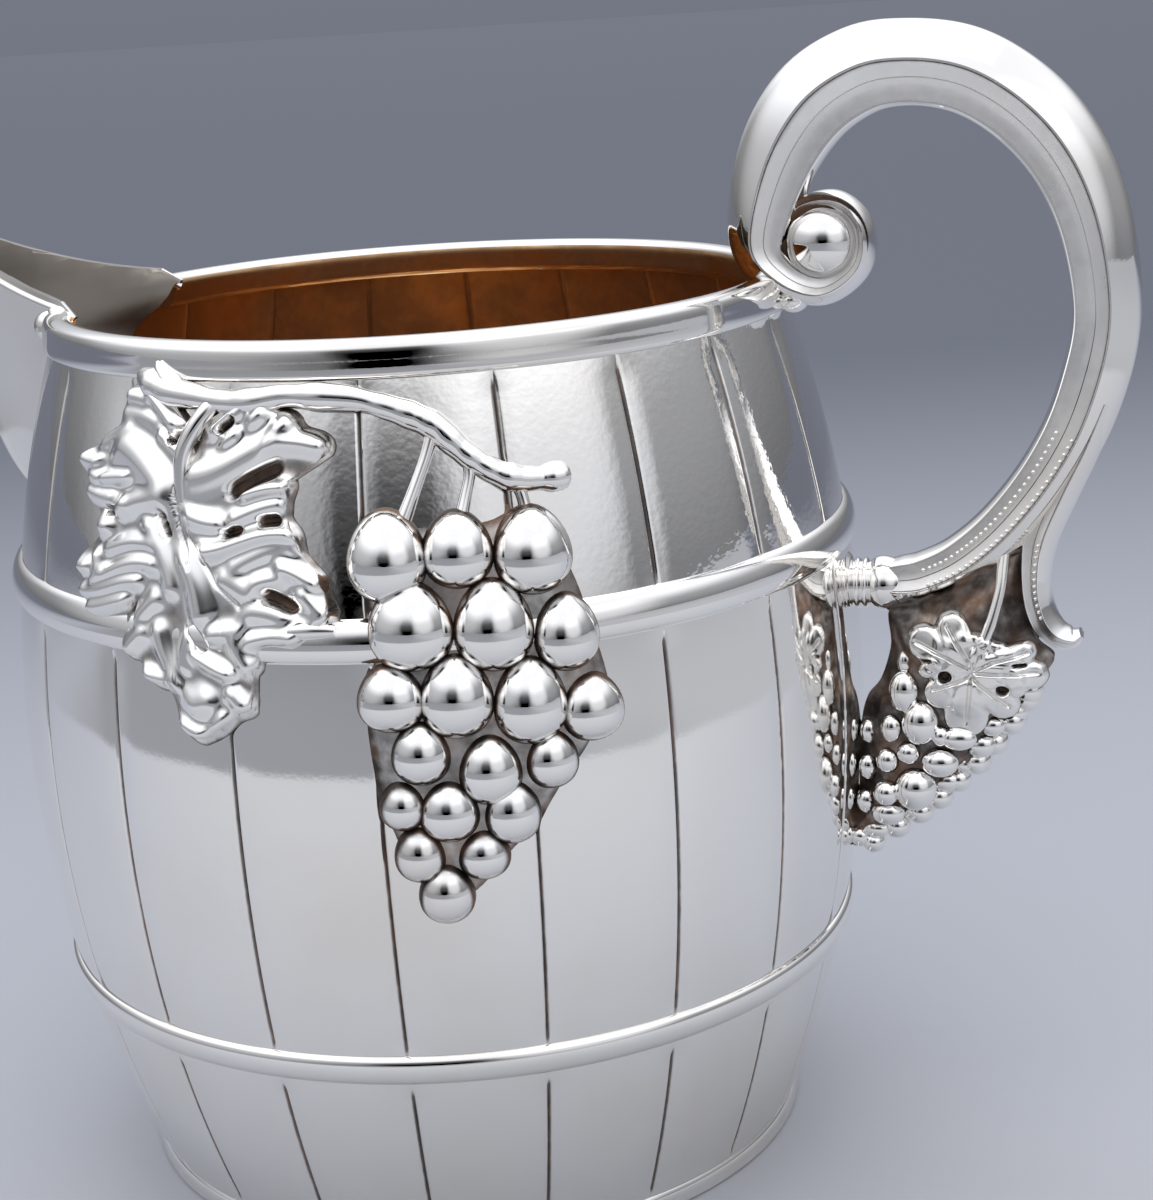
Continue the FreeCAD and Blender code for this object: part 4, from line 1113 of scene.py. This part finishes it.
# Hanging bracket. Places are x and z in the handle's plane.
BRACKET_EDGE = [
    (83.9, 101.0), (83.5, 93.0), (81.3, 86.0), (78.5, 82.0), (77.2, 74.0), (76.7, 63.0),
    (75.0, 54.2), (77.5, 53.4), (83.9, 58.0), (91.3, 63.0), (97.5, 69.4), (102.3, 74.4),
    (107.9, 82.4), (111.2, 87.4), (113.2, 91.0), (110.2, 94.0), (108.6, 99.0), (107.8, 106.0),
    (107.4, 112.6), (101.0, 109.0), (94.0, 104.6),
]
BRACKET_MIDDLE = (94.0, 84.0)


def bracket_swell(share):
    """How far the ground stands out from the middle plane"""
    return 6.4 * (1 - smooth_step(0.55, 1.02, share) * 0.86)


def bracket_ground():
    def place(u, v):
        share, under = turned_under(v, 0.85)
        x, z = (m + (e - m) * share for m, e in zip(BRACKET_MIDDLE, around(BRACKET_EDGE, u)))
        return Vector((x, 0.0 if under else -bracket_swell(share), z)), 0.78

    return draped(140, 28, place)


# Grapes of the bracket's left face: x, z, width and height as half sizes.
BRACKET_GRAPES = [
    (86.5, 85.6, 2.3, 3.3), (89.3, 79.9, 2.9, 3.5), (84.1, 78.7, 1.6, 2.2), (87.1, 74.2, 1.8, 1.8),
    (92.6, 72.5, 2.9, 2.3), (88.1, 67.3, 3.3, 3.5), (82.9, 66.5, 2.0, 2.0), (83.0, 62.1, 2.6, 2.0),
    (87.6, 61.5, 2.3, 1.7), (80.6, 58.0, 2.1, 1.4), (83.3, 72.5, 1.8, 2.0), (96.0, 77.1, 2.8, 1.9),
    (99.6, 74.9, 2.4, 2.0), (105.6, 80.7, 2.1, 1.9), (108.0, 84.9, 2.4, 2.4),
    (93.3, 67.6, 2.3, 1.7), (96.8, 70.6, 2.0, 1.6), (92.0, 64.6, 1.8, 1.4), (101.8, 79.0, 2.0, 1.7),
    (86.8, 90.6, 1.2, 2.0), (92.8, 77.4, 1.5, 1.6), (79.6, 76.6, 1.5, 2.0), (79.4, 70.2, 1.6, 2.1),
    (79.0, 63.6, 1.7, 2.0), (77.4, 56.2, 1.5, 1.6),
]
# Grapes along the lower edge, on the middle plane.
EDGE_GRAPES = [
    (79.8, 55.0, 2.0), (84.1, 58.4, 2.4), (88.4, 61.3, 2.4), (91.9, 64.3, 2.5), (95.3, 67.6, 2.4),
    (98.7, 71.2, 2.6), (101.9, 74.9, 2.5), (104.9, 78.9, 2.7), (107.7, 83.3, 2.6),
    (109.2, 87.7, 2.2),
]


def from_bracket_middle(x, z):
    """Turn and distance of a place from the bracket's middle"""
    x, z = x - BRACKET_MIDDLE[0], z - BRACKET_MIDDLE[1]
    return math.atan2(z, x), math.hypot(x, z)


BRACKET_REACH = [from_bracket_middle(*around(BRACKET_EDGE, step / 90)) for step in range(90)]


def bracket_share(x, z):
    """How far out towards the edge a place lies"""
    turn, away = from_bracket_middle(x, z)
    reach = min(BRACKET_REACH, key=lambda spot: abs(math.remainder(spot[0] - turn, math.tau)))[1]
    return min(away / reach, 1.0)


def bracket_balls():
    bm = bmesh.new()
    oxide = bm.verts.layers.float.new("oxide")
    out = Vector((0, -1, 0))
    for x, z, wide, tall in BRACKET_GRAPES:
        ground = bracket_swell(bracket_share(x, z))
        depth = min(wide, tall)
        centre = Vector((x, -ground - 0.1 * depth, z))
        grape(bm, centre, out, depth, 1.16 * wide / depth, 1.16 * tall / depth)
    for x, z, radius in EDGE_GRAPES:
        grape(bm, Vector((x, -1.2, z)), out, radius, 1.05, 1.0)
    for vert in bm.verts:
        ground = bracket_swell(bracket_share(vert.co.x, vert.co.z))
        is_on_face = vert.co.y < -3.4
        vert[oxide] = 1 - smooth_step(0.15, 0.8, -vert.co.y - ground) if is_on_face else 0.25
    return bm


ground = finished("bracket_ground_left", bracket_ground(), [chased_silver], ["bracket_bunch_left"])
twin(ground, "bracket_ground_right", ["bracket_bunch_right"])
balls = finished("bracket_grapes_left", bracket_balls(), [chased_silver], [],
                 sharp=180)
twin(balls, "bracket_grapes_right", [])

BRACKET_LEAF_MIDDLE = (98.4, 90.0)
BRACKET_LEAF_RELIEF = 2.4
BRACKET_LEAF = Leaf(
    [
        (-1.2, 3.0, -3.3, 7.8, 2.6, 0.85), (-3.0, 1.6, -8.2, 4.8, 3.0, 0.85),
        (-7.8, -0.2, -6.6, 0.9, 1.5, 0.95), (-2.2, -2.8, -5.8, -4.8, 2.7, 0.85),
        (-0.5, -4.0, -0.9, -6.0, 2.6, 0.8), (-1.0, -7.6, -1.3, -9.2, 3.8, 0.85),
        (2.2, -3.6, 5.6, -6.4, 2.7, 0.85), (2.8, -0.7, 6.8, -0.9, 2.2, 1.0),
        (7.8, -1.6, 8.2, -3.4, 1.6, 0.95), (8.8, -0.8, 11.0, -1.2, 2.4, 0.8),
        (3.0, 1.6, 9.4, 3.0, 1.9, 0.85), (0.6, 1.0, 2.4, 5.6, 1.3, 0.9),
        (2.4, 5.0, 5.4, 4.0, 1.0, 0.6), (1.6, 5.8, -1.6, 6.2, 1.0, 0.6),
        (0.0, 0.0, 0.6, -0.6, 2.2, 0.8), (-5.0, -1.4, -3.0, 0.4, 1.6, 0.75),
    ],
    [
        (-4.5, -1.2, -4.3, -1.1, 1.2), (5.3, -3.4, 5.5, -3.5, 1.0), (7.6, 1.1, 9.4, 1.0, 0.4),
        (-8.2, 1.5, -7.0, 1.7, 0.4),
    ],
    [
        [(0.6, 1.6), (0.0, -2.0), (-1.0, -9.6)], [(0.2, 0.4), (-4.0, 2.6), (-9.4, 4.8)],
        [(0.4, 1.0), (-4.0, 8.0)], [(0.4, 0.2), (4.0, 2.0), (10.0, 3.2)], [(0.2, -0.8), (6.4, -6.4)],
        [(0.0, -0.8), (-6.6, -3.6)], [(0.4, 0.0), (11.6, -0.6)],
    ],
    blade=0.3, crown=5, margin=0.4, sway=0.12, dish=0.18,
)


def bracket_leaf():
    def lay(right, up, height):
        x, z = BRACKET_LEAF_MIDDLE[0] + right, BRACKET_LEAF_MIDDLE[1] + up
        ground = 6.6 - 1.6 * smooth_step(5.0, 13.0, math.hypot(right, up))
        lift = -0.6 if height is None else BRACKET_LEAF_RELIEF * height
        return Vector((x, -ground - lift, z))

    return BRACKET_LEAF.sheet(40, lay)


# The leaf's stalk, up into the bow: x, z, distance from the middle plane and radius.
BRACKET_STALK = [
    (99.0, 91.0, 8.0, 0.7), (100.2, 94.2, 7.8, 0.9), (101.4, 97.0, 7.2, 1.1),
    (102.6, 100.6, 6.4, 1.0), (103.6, 104.6, 5.2, 1.0), (104.0, 108.6, 3.6, 1.1),
    (104.4, 112.6, 2.2, 1.0),
]


def bracket_stalk(bm):
    stations = catmull(BRACKET_STALK, 5)
    line = [Vector((x, -depth, z)) for x, z, depth, radius in stations]
    radii = [station[3] for station in stations]
    return tube(bm, line, radii, [Vector((0, -1, 0))] * len(line), 12)


blade = finished("bracket_leaf_blade_left", bracket_stalk(bracket_leaf()), [leaf_silver],
                 ["bracket_leaf_left"], sharp=75)
twin(blade, "bracket_leaf_blade_right", ["bracket_leaf_right"])

# Floor, light and camera

CAMERA_TURN = math.radians(18.0)
CAMERA_PLACE = Vector((129.2, -397.6, 211.3)) * MM
CAMERA_FORWARD = Vector((-0.2427, 0.9345, -0.2605))
CAMERA_ROLL = 0.0629


def place_camera():
    camera = bpy.data.objects.new("camera", bpy.data.cameras.new("camera"))
    bpy.context.scene.collection.objects.link(camera)
    forward = CAMERA_FORWARD.normalized()
    level = forward.cross(Vector((0, 0, 1))).normalized()
    down = forward.cross(level)
    right = math.cos(CAMERA_ROLL) * level + math.sin(CAMERA_ROLL) * down
    up = right.cross(forward)
    turn = Matrix((right, up, -forward)).transposed().to_4x4()
    camera.matrix_world = Matrix.Translation(CAMERA_PLACE) @ turn
    camera.data.sensor_width = 36.0
    camera.data.lens = 69.0
    camera.data.clip_start = 0.01
    bpy.context.scene.camera = camera


# Depth and height of the floor's rows; it climbs far behind the jug to fill the frame.
FLOOR_ROWS = [(-20.0, 0.0), (12.0, 0.0), (20.0, 0.8)]
FLOOR_HALF_WIDTH = 20.0
# The floor's tones are painted shade: pale in front, darkening behind the jug where the light falls
# off.
FLOOR_FRONT = (0.48, 0.485, 0.5, 1)
FLOOR_MIDDLE_SHADE = (0.38, 0.394, 0.434, 1)
FLOOR_BACK_SHADE = (0.084, 0.094, 0.124, 1)
# In front, past this reach, the floor is painted greyer as painted shade, and darker on the left; the
# jug shows it in its reflections.
PALE_REACH = 0.42
SURROUND_SHADE_LEFT = (0.22, 0.225, 0.24, 1)
SURROUND_SHADE_RIGHT = (0.38, 0.385, 0.4, 1)


def floor_finish():
    """Pale floor with painted shade: darker away from the jug, and greyer past the pale reach in front
    """
    finish = Finish("pale_floor")
    turned = {"Vector": finish.place(), "Rotation": (0, 0, -CAMERA_TURN)}
    place = {"Vector": finish.node("ShaderNodeMapping", {}, turned)}
    across = finish.node("ShaderNodeSeparateXYZ", {}, place, output="X")
    away = finish.node("ShaderNodeSeparateXYZ", {}, place, output="Y")
    reach = finish.node("ShaderNodeVectorMath", {"operation": "LENGTH"},
                        {0: finish.place()}, output="Value")
    # Painted shade: the floor darkens from the front to the back.
    colour = finish.mix(away.between(-0.3, 0.1), FLOOR_FRONT, FLOOR_MIDDLE_SHADE)
    colour = finish.mix(away.between(-0.05, 0.9), colour, FLOOR_BACK_SHADE)
    # Painted shade past the pale reach in front, darker on the left.
    surround_shade = finish.mix(across.between(-0.15, 0.5), SURROUND_SHADE_LEFT, SURROUND_SHADE_RIGHT)
    front = 1 - away.between(-0.05, 0.3)
    colour = finish.mix(reach.between(PALE_REACH, PALE_REACH + 0.03) * front, colour, surround_shade)
    finish.principled(Base_Color=colour, Roughness=0.75)
    return finish.material


def lay_floor():
    bm = bmesh.new()
    bmesh.ops.create_grid(bm, x_segments=1, y_segments=2, size=FLOOR_HALF_WIDTH)
    for vert in bm.verts:
        row = round(vert.co.y / FLOOR_HALF_WIDTH)
        vert.co.y, vert.co.z = FLOOR_ROWS[row + 1]
    bmesh.ops.rotate(bm, matrix=Matrix.Rotation(CAMERA_TURN, 3, "Z"), verts=bm.verts)
    mesh = bpy.data.meshes.new("pale_floor")
    bm.to_mesh(mesh)
    bm.free()
    mesh.materials.append(floor_finish())
    floor = bpy.data.objects.new("pale_floor", mesh)
    bpy.context.scene.collection.objects.link(floor)


def hang_ceiling_light():
    light = bpy.data.lights.new("ceiling", "AREA")
    light.shape = "RECTANGLE"
    light.size, light.size_y = 1.6, 1.4
    light.energy = 8.0
    lamp = bpy.data.objects.new("ceiling", light)
    lamp.location = (0.0, 0.0, 1.5)
    lamp.visible_camera = False
    bpy.context.scene.collection.objects.link(lamp)


# The room's light: its lowest level, then steps up with height, each from where it starts to
# where it is full, and its gain.
ROOM_LEVEL = 0.12
ROOM_STEPS = [(-0.15, 0.35, 0.2), (0.25, 0.66, 0.78)]
ROOM_TINT = (0.96, 0.98, 1.04, 1)
# Soft areas of the room as the jug sees them: degrees round from the camera to the right, degrees
# up, half angles where an area starts to fade and has faded, and the light that it adds.
ROOM_AREAS = [
    (30, 18, 10, 32, 0.5), (75, 20, 10, 36, 0.06), (-75, 25, 15, 50, 0.24),
    (-12, 12, 9, 21, -0.22), (180, 40, 12, 48, 0.5),
]


def light_room():
    world = bpy.data.worlds.new("studio")
    bpy.context.scene.world = world
    world.use_nodes = True
    room = Wiring(world.node_tree)
    towards = room.node("ShaderNodeTexCoord", output="Generated")
    height = room.node("ShaderNodeSeparateXYZ", {}, {"Vector": towards}, output="Z")
    level = ROOM_LEVEL
    for low, high, gain in ROOM_STEPS:
        level = level + height.between(low, high) * gain
    for turn, up, full, faded, gain in ROOM_AREAS:
        turn = CAMERA_TURN + math.radians(turn)
        rise = math.tan(math.radians(up))
        middle = Vector((math.sin(turn), -math.cos(turn), rise)).normalized()
        facing = room.node("ShaderNodeVectorMath", {"operation": "DOT_PRODUCT"},
                           {0: towards, 1: middle}, output="Value")
        edges = math.cos(math.radians(faded)), math.cos(math.radians(full))
        level = level + facing.between(*edges) * gain
    room.feed(room.tree.nodes["Background"], {"Color": ROOM_TINT, "Strength": level})


place_camera()
lay_floor()
light_room()
hang_ceiling_light()
bpy.context.scene.view_settings.view_transform = "Standard"
